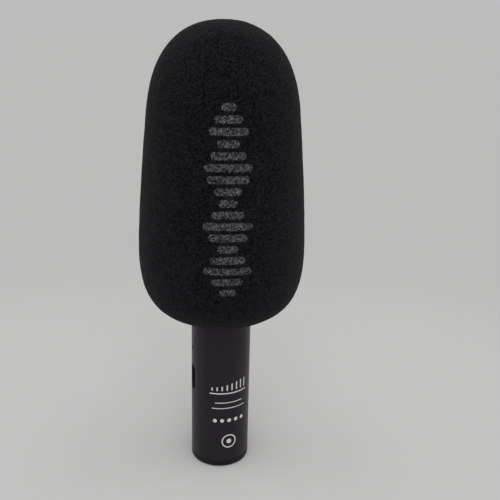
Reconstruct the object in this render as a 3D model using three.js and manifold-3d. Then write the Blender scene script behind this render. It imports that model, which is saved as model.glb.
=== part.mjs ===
import * as THREE from "three";
import { mergeVertices } from "three/addons/utils/BufferGeometryUtils.js";
import Module from "manifold-3d";

// A compact on-camera microphone with a foam windshield, in millimetres. It stands on its rear face:
// the origin is the centre of that face and +Z runs along the barrel to the nose. The printed side
// faces -Y and the data port opens towards -X.

const wasm = await Module();
wasm.setup();

// Clearances
const seatGap = 0.3;
const stackGap = 0.2;
const seamGap = 0.3;
const windshieldGap = 0.3;
const slotMargin = 0.3;
const cutOverrun = 1;
const fusedDepth = 0.3;

// Barrel
const microphoneLength = 144.5;
const barrelDiameter = 21;
const barrelWall = 1;

// Acoustic slots and vents, milled across the barrel from both sides
const slotCount = 12;
const slotShare = 0.4545;
const slotEndInset = 2.3;
const nearestSlotToNose = 15;
const nearestSlotToBoot = 4.7;
const ventCount = 2;
const ventPitch = 4;

// Rear cap
const capFlange = 2.5;
const capEdgeRadius = 1;
const capSpigotLength = 5;
const capSpigotWall = 1.2;
const capScrewAngle = 60;
const capBossFloor = 1;
const capBossSink = 0.2;

// Nose
const noseFlange = 2.2;
const noseEdgeRadius = 0.9;
const noseLip = 0.8;
const noseLipReach = 0.9;
const noseSpigotLength = 4;
const noseSpigotWall = 0.8;
const grilleThickness = 0.6;
const grilleHoleRadius = 0.65;
const grillePitch = 2;
const feltThickness = 0.8;
const sleeveThickness = 0.35;

// Capsule and its rubber boot
const capsuleFromBase = 69;
const bootWall = 2.2;
const canWall = 0.35;
const canFace = 0.5;
const canCrimp = 0.8;
const canPortRadius = 0.7;
const canPortCircle = 3.4;
const canPorts = 6;
const stackRimWidth = 1.1;
const diaphragmRingThickness = 0.5;
const diaphragmThickness = 0.06;
const spacerThickness = 0.1;
const backplateThickness = 0.8;
const backplateHoleRadius = 0.5;
const backplateHoleCircle = 3.2;
const backplateHoles = 6;
const insulatorThickness = 1.6;
const capsuleBoardThickness = 0.8;
const transistorSize = 1.3;
const transistorHeight = 0.9;
const bootLip = 1;
const bootLipWidth = 1;
const bootTail = 1.5;
const bootGroove = 0.6;
const bootRib = 1.4;
const leadRadius = 0.3;
const leadSpread = 1.8;
const leadStraight = 2.5;
const leadPadInset = 2.2;

// Main board, its carrier and screws
const boardThickness = 1;
const boardEdgeGap = 1.1;
const boardTopFromBase = 56;
const lowerScrewFromBase = 20.5;
const upperScrewFromBase = 52.5;
const carrierWall = 1.2;
const carrierFoot = 1.4;
const bossRadius = 1.4;
const boardBossFloor = 0.8;
const screwShankRadius = 0.45;
const screwHoleGap = 0.25;
const screwHeadRadius = 1;
const screwHeadHeight = 0.8;
const screwRecessRadius = 0.4;
const screwRecessDepth = 0.4;

// Pieces soldered to the board
const chipSide = 5;
const chipHeight = 0.9;
const chipFromBase = 25.5;
const chipInset = 1.4;
const crystalLength = 3.2;
const crystalWidth = 2.5;
const crystalHeight = 0.8;
const crystalFromBase = 20.5;
const crystalInset = 1.1;
const shieldLength = 10;
const shieldHeight = 2.2;
const shieldWall = 0.25;
const shieldInset = 1.1;
const shieldToLed = 2.9;
const shieldFromBase = 44.5;
const passiveLength = 1;
const passiveWidth = 0.5;
const passiveHeight = 0.5;
const passivePitch = 1.6;
const passiveRows = 2;
const passiveColumns = 4;
const passiveFromBase = 31;
const passiveInset = 2;

// Data port
const portFromBase = 33.25;
const portShellWidth = 8.94;
const portShellHeight = 3.26;
const portShellDepth = 7.3;
const portShellWall = 0.3;
const portRecess = 0.5;
const tongueWidth = 6.6;
const tongueThickness = 0.7;
const tongueSetback = 0.8;
const insertBlockDepth = 2.2;

// Status light
const lightFromBase = 44.8;
const lightPipeRadius = 0.5;
const lightHoleGap = 0.15;
const lightRecess = 0.2;
const lightFlangeRadius = 1;
const lightFlangeThickness = 0.5;
const ledWidth = 1.6;
const ledHeight = 2.4;
const ledDepth = 1.4;
const ledLensRadius = 0.5;

// Analogue output socket
const plugRadius = 1.75;
const plugClearance = 0.15;
const plugReach = 14;
const ferruleWall = 0.75;
const ferruleRecess = 0.2;
const jackWidth = 6.2;
const jackHeight = 5.6;
const jackEndWall = 1.5;
const jackCollar = 1.6;
const jackEarWidth = 2;
const jackEarThickness = 0.8;
const jackEarLength = 4;
const leafWidth = 1.5;
const leafThickness = 0.25;
const leafRise = 0.45;
const tipLeafLength = 10.2;
const ringLeafLength = 6.6;
const leafPeakLength = 1.2;

// Foam windshield
const windshieldWidest = 56.2;
const windshieldOverNose = 11.6;
const mouthFromBase = 56.3;
const mouthChamfer = 0.8;
const widestFromBase = 81;
const shoulderFromBase = 128;
const shoulderRadius = 24.8;
const shoulderLean = 5.5;
const domeTipHandle = 16.4;
const domeSideHandle = 14.9;
const sideHandle = 14;
const cornerSideHandle = 15;
const cornerMouthHandle = 12.7;
const mouthLean = 13;

// Smoothness of round forms, as counts of flats
const barrelFlats = 36;
const windshieldFlats = 48;
const capsuleFlats = 24;
const smallFlats = 12;
const tinyFlats = 8;
const slotEndFlats = 4;
const grilleHoleFlats = 6;
const portEndFlats = 8;
const filletSteps = 3;
const curveSteps = 7;
const leadSteps = 14;

// Sizes that follow from the ones above
const barrelRadius = barrelDiameter / 2;
const boreRadius = barrelRadius - barrelWall;
const liningRadius = boreRadius - seatGap;
const barrelBottom = capFlange + seamGap;
const barrelTop = microphoneLength - noseFlange - seamGap;
const noseSpigotBottom = barrelTop + seamGap - noseSpigotLength;
const noseSpigotInner = liningRadius - noseSpigotWall;
const noseWindowRadius = noseSpigotInner - noseLipReach;
const capSpigotTop = capFlange + capSpigotLength;
const capSpigotInner = liningRadius - capSpigotWall;
const capScrewCircle = capSpigotInner - bossRadius + capBossSink;
const capBossDepth = capSpigotLength - capBossFloor;
const grilleRadius = noseSpigotInner - seatGap;
const grilleRings = Math.floor((noseWindowRadius - grilleHoleRadius) / grillePitch);
const grilleTop = microphoneLength - noseLip - seatGap;
const feltTop = grilleTop - grilleThickness - seatGap;

const slotSpan = barrelDiameter - 2 * slotEndInset;
const capsuleRadius = liningRadius - bootWall;
const stackRadius = capsuleRadius - canWall - seatGap;
const stackInner = stackRadius - stackRimWidth;
const capsuleBoardBottom = capsuleFromBase + canWall + stackGap;
const insulatorBottom = capsuleBoardBottom + capsuleBoardThickness + stackGap;
const backplateBottom = insulatorBottom + insulatorThickness + stackGap;
const spacerBottom = backplateBottom + backplateThickness + stackGap;
const diaphragmBottom = spacerBottom + spacerThickness + stackGap;
const ringBottom = diaphragmBottom + diaphragmThickness + stackGap;
const canFaceBottom = ringBottom + diaphragmRingThickness + stackGap;
const canTop = canFaceBottom + canFace;
const bootBottom = capsuleFromBase - bootTail;
const bootTop = canTop + seatGap + bootLip;
const highestSlot = microphoneLength - nearestSlotToNose;
const lowestSlot = bootTop + nearestSlotToBoot;
const slotPitch = (highestSlot - lowestSlot) / (slotCount - 1);
const slotHeight = slotPitch * slotShare;

const boardFront = portShellHeight / 2 + seatGap;
const boardBack = boardFront + boardThickness;
const boardHalf = Math.sqrt(boreRadius ** 2 - boardBack ** 2) - boardEdgeGap;
const carrierLedge = boardBack + seatGap;
const carrierInner = liningRadius - carrierWall;
const carrierBottom = capSpigotTop + seatGap;
const boardBottom = carrierBottom + seatGap;
const boardBossDepth = carrierInner - carrierLedge - boardBossFloor;
const screwHoleRadius = screwShankRadius + screwHoleGap;
const lightFlangeBack = -liningRadius + lightFlangeThickness;
const ledFront = lightFlangeBack + seatGap + ledLensRadius;

const portMouth = -(barrelRadius - portRecess);
const portBack = portMouth + portShellDepth;
const jackBoreRadius = plugRadius + plugClearance;
const jackBottom = capFlange + seatGap;
const jackBoreTop = plugReach + seatGap;
const jackTop = jackBoreTop + jackEndWall;
const ferruleRadius = jackBoreRadius + ferruleWall;
const leafRoot = jackBottom + jackCollar + seatGap;
const leafRest = jackBoreRadius + seatGap;
const leafWindow = leafWidth + 2 * seatGap;

// Turns a three.js geometry into a solid that can be cut and joined.
function toSolid(geometry) {
  const bare = geometry.clone();
  bare.deleteAttribute("normal");
  bare.deleteAttribute("uv");
  const merged = mergeVertices(bare);
  const vertProperties = merged.attributes.position.array;
  const triVerts = new Uint32Array(merged.index.array);
  return new wasm.Manifold(new wasm.Mesh({ numProp: 3, vertProperties, triVerts }));
}

// Turns a solid back into a geometry.
function toGeometry(solid) {
  const mesh = solid.getMesh();
  const position = new THREE.BufferAttribute(Float32Array.from(mesh.vertProperties), 3);
  const geometry = new THREE.BufferGeometry();
  geometry.setAttribute("position", position);
  geometry.setIndex(new THREE.BufferAttribute(Uint32Array.from(mesh.triVerts), 1));
  const faceted = geometry.toNonIndexed();
  faceted.computeVertexNormals();
  return faceted;
}

// Revolves a profile of [radius, height] points about Z. A profile that doesn't start on the axis is
// closed on itself.
function revolve(profile, flats) {
  const points = profile.map(([radius, height]) => new THREE.Vector2(radius, height));
  if (points[0].x > 0) {
    points.push(points[0].clone());
  }
  if (THREE.ShapeUtils.isClockWise(points)) {
    points.reverse();
  }
  return new THREE.LatheGeometry(points, flats).rotateX(Math.PI / 2);
}

function disc(radius, bottom, thickness, flats) {
  const top = bottom + thickness;
  return revolve([[0, bottom], [radius, bottom], [radius, top], [0, top]], flats);
}

// A short round bar along Z that stands at each of the given places.
function discsAt(places, radius, bottom, thickness, flats) {
  return places.map(([x, y]) => disc(radius, bottom, thickness, flats).translate(x, y, 0));
}

function ring(outer, inner, bottom, thickness, flats) {
  const top = bottom + thickness;
  return revolve([[outer, bottom], [outer, top], [inner, top], [inner, bottom]], flats);
}

// A box from its lowest to its highest corner.
function box(low, high) {
  const size = high.map((value, axis) => value - low[axis]);
  const middle = high.map((value, axis) => (value + low[axis]) / 2);
  return new THREE.BoxGeometry(...size).translate(...middle);
}

// A round bar along X or Y between two places on that axis.
function barAlongX(radius, fromX, toX, y, z, flats) {
  const length = toX - fromX;
  const bar = new THREE.CylinderGeometry(radius, radius, length, flats);
  return bar.rotateZ(Math.PI / 2).translate(fromX + length / 2, y, z);
}

function barAlongY(radius, fromY, toY, x, z, flats) {
  const length = toY - fromY;
  const bar = new THREE.CylinderGeometry(radius, radius, length, flats);
  return bar.translate(x, fromY + length / 2, z);
}

// Points of a quarter round of the given radius about a centre, from one angle to another.
function arcPoints(centreRadius, centreHeight, radius, fromAngle, toAngle) {
  const points = [];
  for (let step = 0; step <= filletSteps; step++) {
    const angle = fromAngle + ((toAngle - fromAngle) * step) / filletSteps;
    points.push([centreRadius + radius * Math.cos(angle), centreHeight + radius * Math.sin(angle)]);
  }
  return points;
}

// A round-ended outline, the given length along its second axis and width along its first.
function stadium(width, length) {
  const radius = width / 2;
  const reach = length / 2 - radius;
  const shape = new THREE.Shape();
  shape.absarc(0, reach, radius, 0, Math.PI, false);
  shape.absarc(0, -reach, radius, Math.PI, 2 * Math.PI, false);
  return shape;
}

// A round-ended bar along X: width is its size along Y, length its size along Z.
function stadiumAlongX(width, length, fromX, toX, z, endFlats) {
  const settings = { depth: toX - fromX, bevelEnabled: false, curveSegments: endFlats / 2 };
  const bar = new THREE.ExtrudeGeometry(stadium(width, length), settings);
  return bar.rotateX(Math.PI / 2).rotateZ(Math.PI / 2).translate(fromX, 0, z);
}

function join(geometries) {
  return geometries.map(toSolid).reduce((sum, solid) => sum.add(solid));
}

// Joins the first list and takes the second list away from it.
function carve(kept, removed) {
  return toGeometry(join(kept).subtract(join(removed)));
}

const group = new THREE.Group();
group.name = "on_camera_microphone";

function addPiece(name, geometry, finish, parent = group) {
  const mesh = new THREE.Mesh(geometry, new THREE.MeshStandardMaterial(finish));
  mesh.name = name;
  parent.add(mesh);
  return mesh;
}

const satinBlack = { color: 0x1b1a1c, roughness: 0.42, metalness: 0.6 };
const matteBlack = { color: 0x18181a, roughness: 0.7, metalness: 0 };
const foamBlack = { color: 0x101012, roughness: 0.95, metalness: 0 };
const meshGrey = { color: 0x3c3d40, roughness: 0.55, metalness: 0.7 };
const feltBlack = { color: 0x1d1d1f, roughness: 0.95, metalness: 0 };
const rubberBlack = { color: 0x202022, roughness: 0.8, metalness: 0 };
const silver = { color: 0xc3c5c8, roughness: 0.3, metalness: 0.95 };
const brass = { color: 0xc9a35a, roughness: 0.3, metalness: 0.95 };
const gold = { color: 0xd9b45c, roughness: 0.28, metalness: 0.95 };
const boardGreen = { color: 0x1f4a33, roughness: 0.45, metalness: 0 };
const film = { color: 0xd8d2c0, roughness: 0.25, metalness: 0.3 };
const clearPlastic = { color: 0xe8ecee, roughness: 0.15, metalness: 0 };
const ivoryPlastic = { color: 0xd9d3c3, roughness: 0.5, metalness: 0 };
const wireRed = { color: 0x8f2a22, roughness: 0.5, metalness: 0 };
const wireBlack = { color: 0x1a1a1a, roughness: 0.5, metalness: 0 };

// The windshield's outline from its mouth over the widest place and the shoulder to the tip.
function windshieldOutline() {
  const widest = windshieldWidest / 2;
  const tip = microphoneLength + windshieldOverNose;
  const lean = Math.tan(THREE.MathUtils.degToRad(shoulderLean));
  const mouthSlope = Math.tan(THREE.MathUtils.degToRad(mouthLean));
  const mouthRadius = barrelRadius + windshieldGap + mouthChamfer;
  const corner = new THREE.CubicBezierCurve(
    new THREE.Vector2(mouthRadius, mouthFromBase),
    new THREE.Vector2(mouthRadius + cornerMouthHandle, mouthFromBase + cornerMouthHandle * mouthSlope),
    new THREE.Vector2(widest, widestFromBase - cornerSideHandle),
    new THREE.Vector2(widest, widestFromBase),
  );
  const side = new THREE.QuadraticBezierCurve(
    new THREE.Vector2(widest, widestFromBase),
    new THREE.Vector2(widest, widestFromBase + sideHandle),
    new THREE.Vector2(shoulderRadius, shoulderFromBase),
  );
  const dome = new THREE.CubicBezierCurve(
    new THREE.Vector2(shoulderRadius, shoulderFromBase),
    new THREE.Vector2(shoulderRadius - domeSideHandle * lean, shoulderFromBase + domeSideHandle),
    new THREE.Vector2(domeTipHandle, tip),
    new THREE.Vector2(0, tip),
  );
  const outline = corner.getPoints(curveSteps);
  outline.push(...side.getPoints(curveSteps).slice(1));
  outline.push(...dome.getPoints(curveSteps).slice(1));
  return outline.map((point) => [point.x, point.y]);
}

function buildWindshield() {
  const bore = barrelRadius + windshieldGap;
  const boreTop = microphoneLength + seatGap;
  const inside = [[0, boreTop], [bore, boreTop], [bore, mouthFromBase + mouthChamfer]];
  const profile = inside.concat(windshieldOutline());
  addPiece("foam_windshield", revolve(profile, windshieldFlats), foamBlack);
}

// One milled slot from both sides of the barrel, centred at a height.
function slotPair(height) {
  const right = stadiumAlongX(slotHeight, slotSpan, 0, barrelRadius + cutOverrun, 0, slotEndFlats);
  right.rotateX(Math.PI / 2);
  const left = right.clone().rotateZ(Math.PI);
  return [right.translate(0, 0, height), left.translate(0, 0, height)];
}

function slotHeights() {
  return Array.from({ length: slotCount }, (_, index) => highestSlot - index * slotPitch);
}

// The vents lie between the rubber boot and the top of the board.
function ventHeights() {
  const middle = (bootBottom + boardTopFromBase) / 2;
  const lowest = middle - (ventPitch * (ventCount - 1)) / 2;
  return Array.from({ length: ventCount }, (_, index) => lowest + index * ventPitch);
}

function buildBarrel() {
  const tube = ring(barrelRadius, boreRadius, barrelBottom, barrelTop - barrelBottom, barrelFlats);
  const cuts = [...slotHeights(), ...ventHeights()].flatMap(slotPair);
  const portWidth = portShellHeight + 2 * slotMargin;
  const portLength = portShellWidth + 2 * slotMargin;
  const outside = -(barrelRadius + cutOverrun);
  cuts.push(stadiumAlongX(portWidth, portLength, outside, 0, portFromBase, portEndFlats));
  const lightHole = lightPipeRadius + lightHoleGap;
  cuts.push(barAlongX(lightHole, outside, 0, 0, lightFromBase, smallFlats));
  addPiece("barrel", carve([tube], cuts), satinBlack);
}

// The places of the two screws that hold the board's carrier on the cap.
function capScrewPlaces() {
  const angle = THREE.MathUtils.degToRad(capScrewAngle);
  const x = capScrewCircle * Math.cos(angle);
  const y = capScrewCircle * Math.sin(angle);
  return [[-x, y], [x, y]];
}

function buildEndCap() {
  const hole = ferruleRadius + seatGap;
  const edge = arcPoints(barrelRadius - capEdgeRadius, capEdgeRadius, capEdgeRadius, -Math.PI / 2, 0);
  const profile = [
    [hole, 0],
    ...edge,
    [barrelRadius, capFlange],
    [liningRadius, capFlange],
    [liningRadius, capSpigotTop],
    [capSpigotInner, capSpigotTop],
    [capSpigotInner, capFlange],
    [hole, capFlange],
  ];
  const cap = revolve(profile, barrelFlats);
  const places = capScrewPlaces();
  const bossFoot = capFlange - fusedDepth;
  const bosses = discsAt(places, bossRadius, bossFoot, capSpigotTop - bossFoot, smallFlats);
  const pilotFoot = capSpigotTop - capBossDepth;
  const pilots = discsAt(places, screwHoleRadius, pilotFoot, capBossDepth + cutOverrun, smallFlats);
  addPiece("end_cap", carve([cap, ...bosses], pilots), satinBlack);
}

function buildNose() {
  const shoulder = barrelTop + seamGap;
  const lipBottom = microphoneLength - noseLip;
  const edgeCentre = barrelRadius - noseEdgeRadius;
  const edgeHeight = microphoneLength - noseEdgeRadius;
  const profile = [
    [barrelRadius, shoulder],
    ...arcPoints(edgeCentre, edgeHeight, noseEdgeRadius, 0, Math.PI / 2),
    [noseWindowRadius, microphoneLength],
    [noseWindowRadius, lipBottom],
    [noseSpigotInner, lipBottom],
    [noseSpigotInner, noseSpigotBottom],
    [liningRadius, noseSpigotBottom],
    [liningRadius, shoulder],
  ];
  addPiece("nose_ring", revolve(profile, barrelFlats), satinBlack);
  addPiece("nose_grille", grille(), meshGrey);
  const felt = disc(grilleRadius, feltTop - feltThickness, feltThickness, capsuleFlats);
  addPiece("front_felt", felt, feltBlack);
}

// A disc with round holes on a hexagonal pattern.
function grille() {
  const plate = disc(grilleRadius, grilleTop - grilleThickness, grilleThickness, capsuleFlats);
  const holes = [];
  for (let row = -grilleRings; row <= grilleRings; row++) {
    const inRow = 2 * grilleRings + 1 - Math.abs(row);
    for (let place = 0; place < inRow; place++) {
      const x = (place - (inRow - 1) / 2) * grillePitch;
      const y = row * grillePitch * Math.sin(Math.PI / 3);
      const bottom = grilleTop - grilleThickness - cutOverrun;
      const hole = disc(grilleHoleRadius, bottom, grilleThickness + 2 * cutOverrun, grilleHoleFlats);
      holes.push(hole.translate(x, y, 0));
    }
  }
  return carve([plate], holes);
}

function buildSleeves() {
  const inner = liningRadius - sleeveThickness;
  const slotBottom = bootTop + seatGap;
  const slotLength = noseSpigotBottom - seatGap - slotBottom;
  addPiece("slot_mesh_sleeve", ring(liningRadius, inner, slotBottom, slotLength, barrelFlats), meshGrey);
  const ventBottom = boardTopFromBase + seatGap;
  const ventLength = bootBottom - seatGap - ventBottom;
  addPiece("vent_mesh_sleeve", ring(liningRadius, inner, ventBottom, ventLength, barrelFlats), meshGrey);
}

// The rubber boot grips the barrel with two ribs and holds the capsule behind a front lip.
function buildCapsuleBoot() {
  const groove = liningRadius - bootGroove;
  const inner = capsuleRadius + seatGap;
  const profile = [
    [liningRadius, bootBottom],
    [liningRadius, bootBottom + bootRib],
    [groove, bootBottom + bootRib + bootGroove],
    [groove, bootTop - bootRib - bootGroove],
    [liningRadius, bootTop - bootRib],
    [liningRadius, bootTop],
    [capsuleRadius - bootLipWidth, bootTop],
    [capsuleRadius - bootLipWidth, bootTop - bootLip],
    [inner, bootTop - bootLip],
    [inner, bootBottom],
  ];
  addPiece("capsule_boot", revolve(profile, barrelFlats), rubberBlack);
}

// Bars along Z, evenly spaced on a circle, that cut round holes through a plate.
function holeCircle(count, circle, radius, bottom, thickness) {
  const places = Array.from({ length: count }, (_, index) => {
    const angle = (2 * Math.PI * index) / count;
    return [circle * Math.cos(angle), circle * Math.sin(angle)];
  });
  return discsAt(places, radius, bottom - cutOverrun, thickness + 2 * cutOverrun, tinyFlats);
}

function buildCapsule() {
  const inner = capsuleRadius - canWall;
  const canProfile = [
    [0, canTop],
    [capsuleRadius, canTop],
    [capsuleRadius, capsuleFromBase],
    [inner - canCrimp, capsuleFromBase],
    [inner - canCrimp, capsuleFromBase + canWall],
    [inner, capsuleFromBase + canWall],
    [inner, canFaceBottom],
    [0, canFaceBottom],
  ];
  const centrePort = disc(canPortRadius, canFaceBottom - cutOverrun, canFace + 2 * cutOverrun, tinyFlats);
  const ports = holeCircle(canPorts, canPortCircle, canPortRadius, canFaceBottom, canFace);
  addPiece("capsule_can", carve([revolve(canProfile, capsuleFlats)], [centrePort, ...ports]), silver);

  const ringPiece = ring(stackRadius, stackInner, ringBottom, diaphragmRingThickness, capsuleFlats);
  addPiece("diaphragm_ring", ringPiece, brass);
  addPiece("diaphragm", disc(stackRadius, diaphragmBottom, diaphragmThickness, capsuleFlats), film);
  const spacer = ring(stackRadius, stackInner, spacerBottom, spacerThickness, capsuleFlats);
  addPiece("diaphragm_spacer", spacer, ivoryPlastic);

  const plate = disc(stackRadius, backplateBottom, backplateThickness, capsuleFlats);
  const plateHoles = holeCircle(
    backplateHoles,
    backplateHoleCircle,
    backplateHoleRadius,
    backplateBottom,
    backplateThickness,
  );
  addPiece("backplate", carve([plate], plateHoles), brass);
  const insulator = ring(stackRadius, stackInner, insulatorBottom, insulatorThickness, capsuleFlats);
  addPiece("backplate_insulator", insulator, ivoryPlastic);

  const board = disc(stackRadius, capsuleBoardBottom, capsuleBoardThickness, capsuleFlats);
  const boardTop = capsuleBoardBottom + capsuleBoardThickness;
  const half = transistorSize / 2;
  const transistor = box([-half, -half, boardTop - fusedDepth], [half, half, boardTop + transistorHeight]);
  addPiece("capsule_board", toGeometry(join([board, transistor])), boardGreen);
}

// A wire from a pad under the capsule to a pad near the top of the main board.
function capsuleLead(side) {
  const x = side * leadSpread;
  const start = capsuleBoardBottom - seatGap;
  const padHeight = boardTopFromBase - leadPadInset;
  const y = boardFront - seatGap - leadRadius;
  const middleHeight = (start + boardTopFromBase) / 2;
  const route = new THREE.CatmullRomCurve3([
    new THREE.Vector3(x, 0, start),
    new THREE.Vector3(x, 0, start - leadStraight),
    new THREE.Vector3(x, y / 2, middleHeight),
    new THREE.Vector3(x, y, padHeight + leadStraight),
    new THREE.Vector3(x, y, padHeight),
  ]);
  const section = new THREE.Shape();
  section.absarc(0, 0, leadRadius, 0, 2 * Math.PI, false);
  const settings = { steps: leadSteps, curveSegments: tinyFlats / 2, extrudePath: route };
  return new THREE.ExtrudeGeometry(section, settings);
}

function buildCapsuleLeads() {
  addPiece("capsule_lead_ground", capsuleLead(-1), wireBlack);
  addPiece("capsule_lead_signal", capsuleLead(1), wireRed);
}

function buildBoard() {
  const board = box([-boardHalf, boardFront, boardBottom], [boardHalf, boardBack, boardTopFromBase]);
  const notchHalf = jackWidth / 2 + seatGap;
  const notch = box(
    [-notchHalf, boardFront - cutOverrun, boardBottom - cutOverrun],
    [notchHalf, boardBack + cutOverrun, jackTop + seatGap],
  );
  const holes = [lowerScrewFromBase, upperScrewFromBase].map((z) =>
    barAlongY(screwHoleRadius, boardFront - cutOverrun, boardBack + cutOverrun, 0, z, smallFlats),
  );
  addPiece("main_board", carve([board, ...passives()], [notch, ...holes]), boardGreen);
}

// Small soldered parts in rows, standing on the board's front face.
function passives() {
  const parts = [];
  for (let row = 0; row < passiveRows; row++) {
    for (let column = 0; column < passiveColumns; column++) {
      const x = boardHalf - passiveInset - column * passivePitch;
      const z = passiveFromBase + row * passivePitch;
      const low = [x - passiveWidth / 2, boardFront - passiveHeight, z - passiveLength / 2];
      const high = [x + passiveWidth / 2, boardFront + fusedDepth, z + passiveLength / 2];
      parts.push(box(low, high));
    }
  }
  return parts;
}

// The carrier is a half-round cradle behind the board, with two bosses for its screws and a foot that
// stands on the cap.
function buildCarrier() {
  const length = boardTopFromBase - carrierBottom;
  const shell = toSolid(ring(liningRadius, carrierInner, carrierBottom, length, barrelFlats));
  const foot = toSolid(disc(carrierInner + fusedDepth, carrierBottom, carrierFoot, barrelFlats));
  const behindBoard = toSolid(
    box(
      [-barrelRadius, carrierLedge, carrierBottom - cutOverrun],
      [barrelRadius, barrelRadius, boardTopFromBase + cutOverrun],
    ),
  );
  const places = [lowerScrewFromBase, upperScrewFromBase];
  const rootDepth = carrierInner + carrierWall / 2;
  const bosses = places.map((z) => barAlongY(bossRadius, carrierLedge, rootDepth, 0, z, smallFlats));
  const pilots = places.map((z) =>
    barAlongY(screwHoleRadius, carrierLedge - cutOverrun, carrierLedge + boardBossDepth, 0, z, smallFlats),
  );
  const footBottom = carrierBottom - cutOverrun;
  const footCut = carrierFoot + 2 * cutOverrun;
  const footHoles = discsAt(capScrewPlaces(), screwHoleRadius, footBottom, footCut, smallFlats);
  const cradle = shell.add(foot).intersect(behindBoard).add(join(bosses));
  addPiece("board_carrier", toGeometry(cradle.subtract(join([...pilots, ...footHoles]))), matteBlack);
}

// A small pan-head screw along Z with a round drive recess: its head's underside is at height zero and
// its shank runs down.
function screw(shankLength) {
  return revolve(
    [
      [0, -shankLength],
      [screwShankRadius, -shankLength],
      [screwShankRadius, 0],
      [screwHeadRadius, 0],
      [screwHeadRadius, screwHeadHeight / 2],
      [screwHeadRadius - screwHeadHeight / 2, screwHeadHeight],
      [screwRecessRadius, screwHeadHeight],
      [screwRecessRadius, screwHeadHeight - screwRecessDepth],
      [0, screwHeadHeight - screwRecessDepth],
    ],
    tinyFlats,
  );
}

function buildScrews() {
  const boardShank = 2 * seatGap + boardThickness + boardBossDepth - seatGap;
  const boardScrews = [
    ["board_screw_lower", lowerScrewFromBase],
    ["board_screw_upper", upperScrewFromBase],
  ];
  for (const [name, z] of boardScrews) {
    const mesh = addPiece(name, screw(boardShank), silver);
    mesh.rotation.x = Math.PI / 2;
    mesh.position.set(0, boardFront - seatGap, z);
  }
  const capShank = 2 * seatGap + carrierFoot + capBossDepth - seatGap;
  const names = ["cap_screw_left", "cap_screw_right"];
  capScrewPlaces().forEach(([x, y], index) => {
    const mesh = addPiece(names[index], screw(capShank), silver);
    mesh.position.set(x, y, carrierBottom + carrierFoot + seatGap);
  });
}

// A block on the board's front face, centred at a place on it.
function onBoard(x, z, width, length, height) {
  const top = boardFront - seatGap;
  return box([x - width / 2, top - height, z - length / 2], [x + width / 2, top, z + length / 2]);
}

function buildSolderedParts() {
  const chipX = boardHalf - chipInset - chipSide / 2;
  addPiece("audio_codec", onBoard(chipX, chipFromBase, chipSide, chipSide, chipHeight), matteBlack);
  const crystalX = boardHalf - crystalInset - crystalWidth / 2;
  const crystal = onBoard(crystalX, crystalFromBase, crystalWidth, crystalLength, crystalHeight);
  addPiece("crystal_oscillator", crystal, silver);

  const shieldLeft = ledFront + ledDepth + shieldToLed;
  const shieldRight = boardHalf - shieldInset;
  const shieldWidth = shieldRight - shieldLeft;
  const shieldX = (shieldLeft + shieldRight) / 2;
  const can = onBoard(shieldX, shieldFromBase, shieldWidth, shieldLength, shieldHeight);
  const top = boardFront - seatGap;
  const halfWidth = shieldWidth / 2 - shieldWall;
  const halfLength = shieldLength / 2 - shieldWall;
  const hollow = box(
    [shieldX - halfWidth, top - shieldHeight + shieldWall, shieldFromBase - halfLength],
    [shieldX + halfWidth, top + cutOverrun, shieldFromBase + halfLength],
  );
  addPiece("shield_can", carve([can], [hollow]), silver);
}

// The data port: a round-ended metal shell and the insert that carries its tongue.
function buildDataPort() {
  const shell = stadiumAlongX(
    portShellHeight,
    portShellWidth,
    portMouth,
    portBack,
    portFromBase,
    portEndFlats,
  );
  const inside = stadiumAlongX(
    portShellHeight - 2 * portShellWall,
    portShellWidth - 2 * portShellWall,
    portMouth - cutOverrun,
    portBack + cutOverrun,
    portFromBase,
    portEndFlats,
  );
  addPiece("usb_c_shell", carve([shell], [inside]), silver);

  const fit = 2 * (portShellWall + seatGap);
  const block = stadiumAlongX(
    portShellHeight - fit,
    portShellWidth - fit,
    portBack - insertBlockDepth,
    portBack,
    portFromBase,
    portEndFlats,
  );
  const tongue = box(
    [portMouth + tongueSetback, -tongueThickness / 2, portFromBase - tongueWidth / 2],
    [portBack - insertBlockDepth / 2, tongueThickness / 2, portFromBase + tongueWidth / 2],
  );
  addPiece("usb_c_insert", toGeometry(join([block, tongue])), matteBlack);
}

function buildStatusLight() {
  const top = boardFront - seatGap;
  const body = box(
    [ledFront, top - ledHeight, lightFromBase - ledWidth / 2],
    [ledFront + ledDepth, top, lightFromBase + ledWidth / 2],
  );
  const lens = new THREE.SphereGeometry(ledLensRadius, tinyFlats, tinyFlats);
  lens.translate(ledFront, 0, lightFromBase);
  addPiece("status_led", toGeometry(join([body, lens])), ivoryPlastic);

  const pipeEnd = lightRecess - barrelRadius;
  const pipe = barAlongX(lightPipeRadius, pipeEnd, lightFlangeBack, 0, lightFromBase, smallFlats);
  const flange = barAlongX(lightFlangeRadius, -liningRadius, lightFlangeBack, 0, lightFromBase, smallFlats);
  addPiece("light_pipe", toGeometry(join([pipe, flange])), clearPlastic);
}

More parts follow.
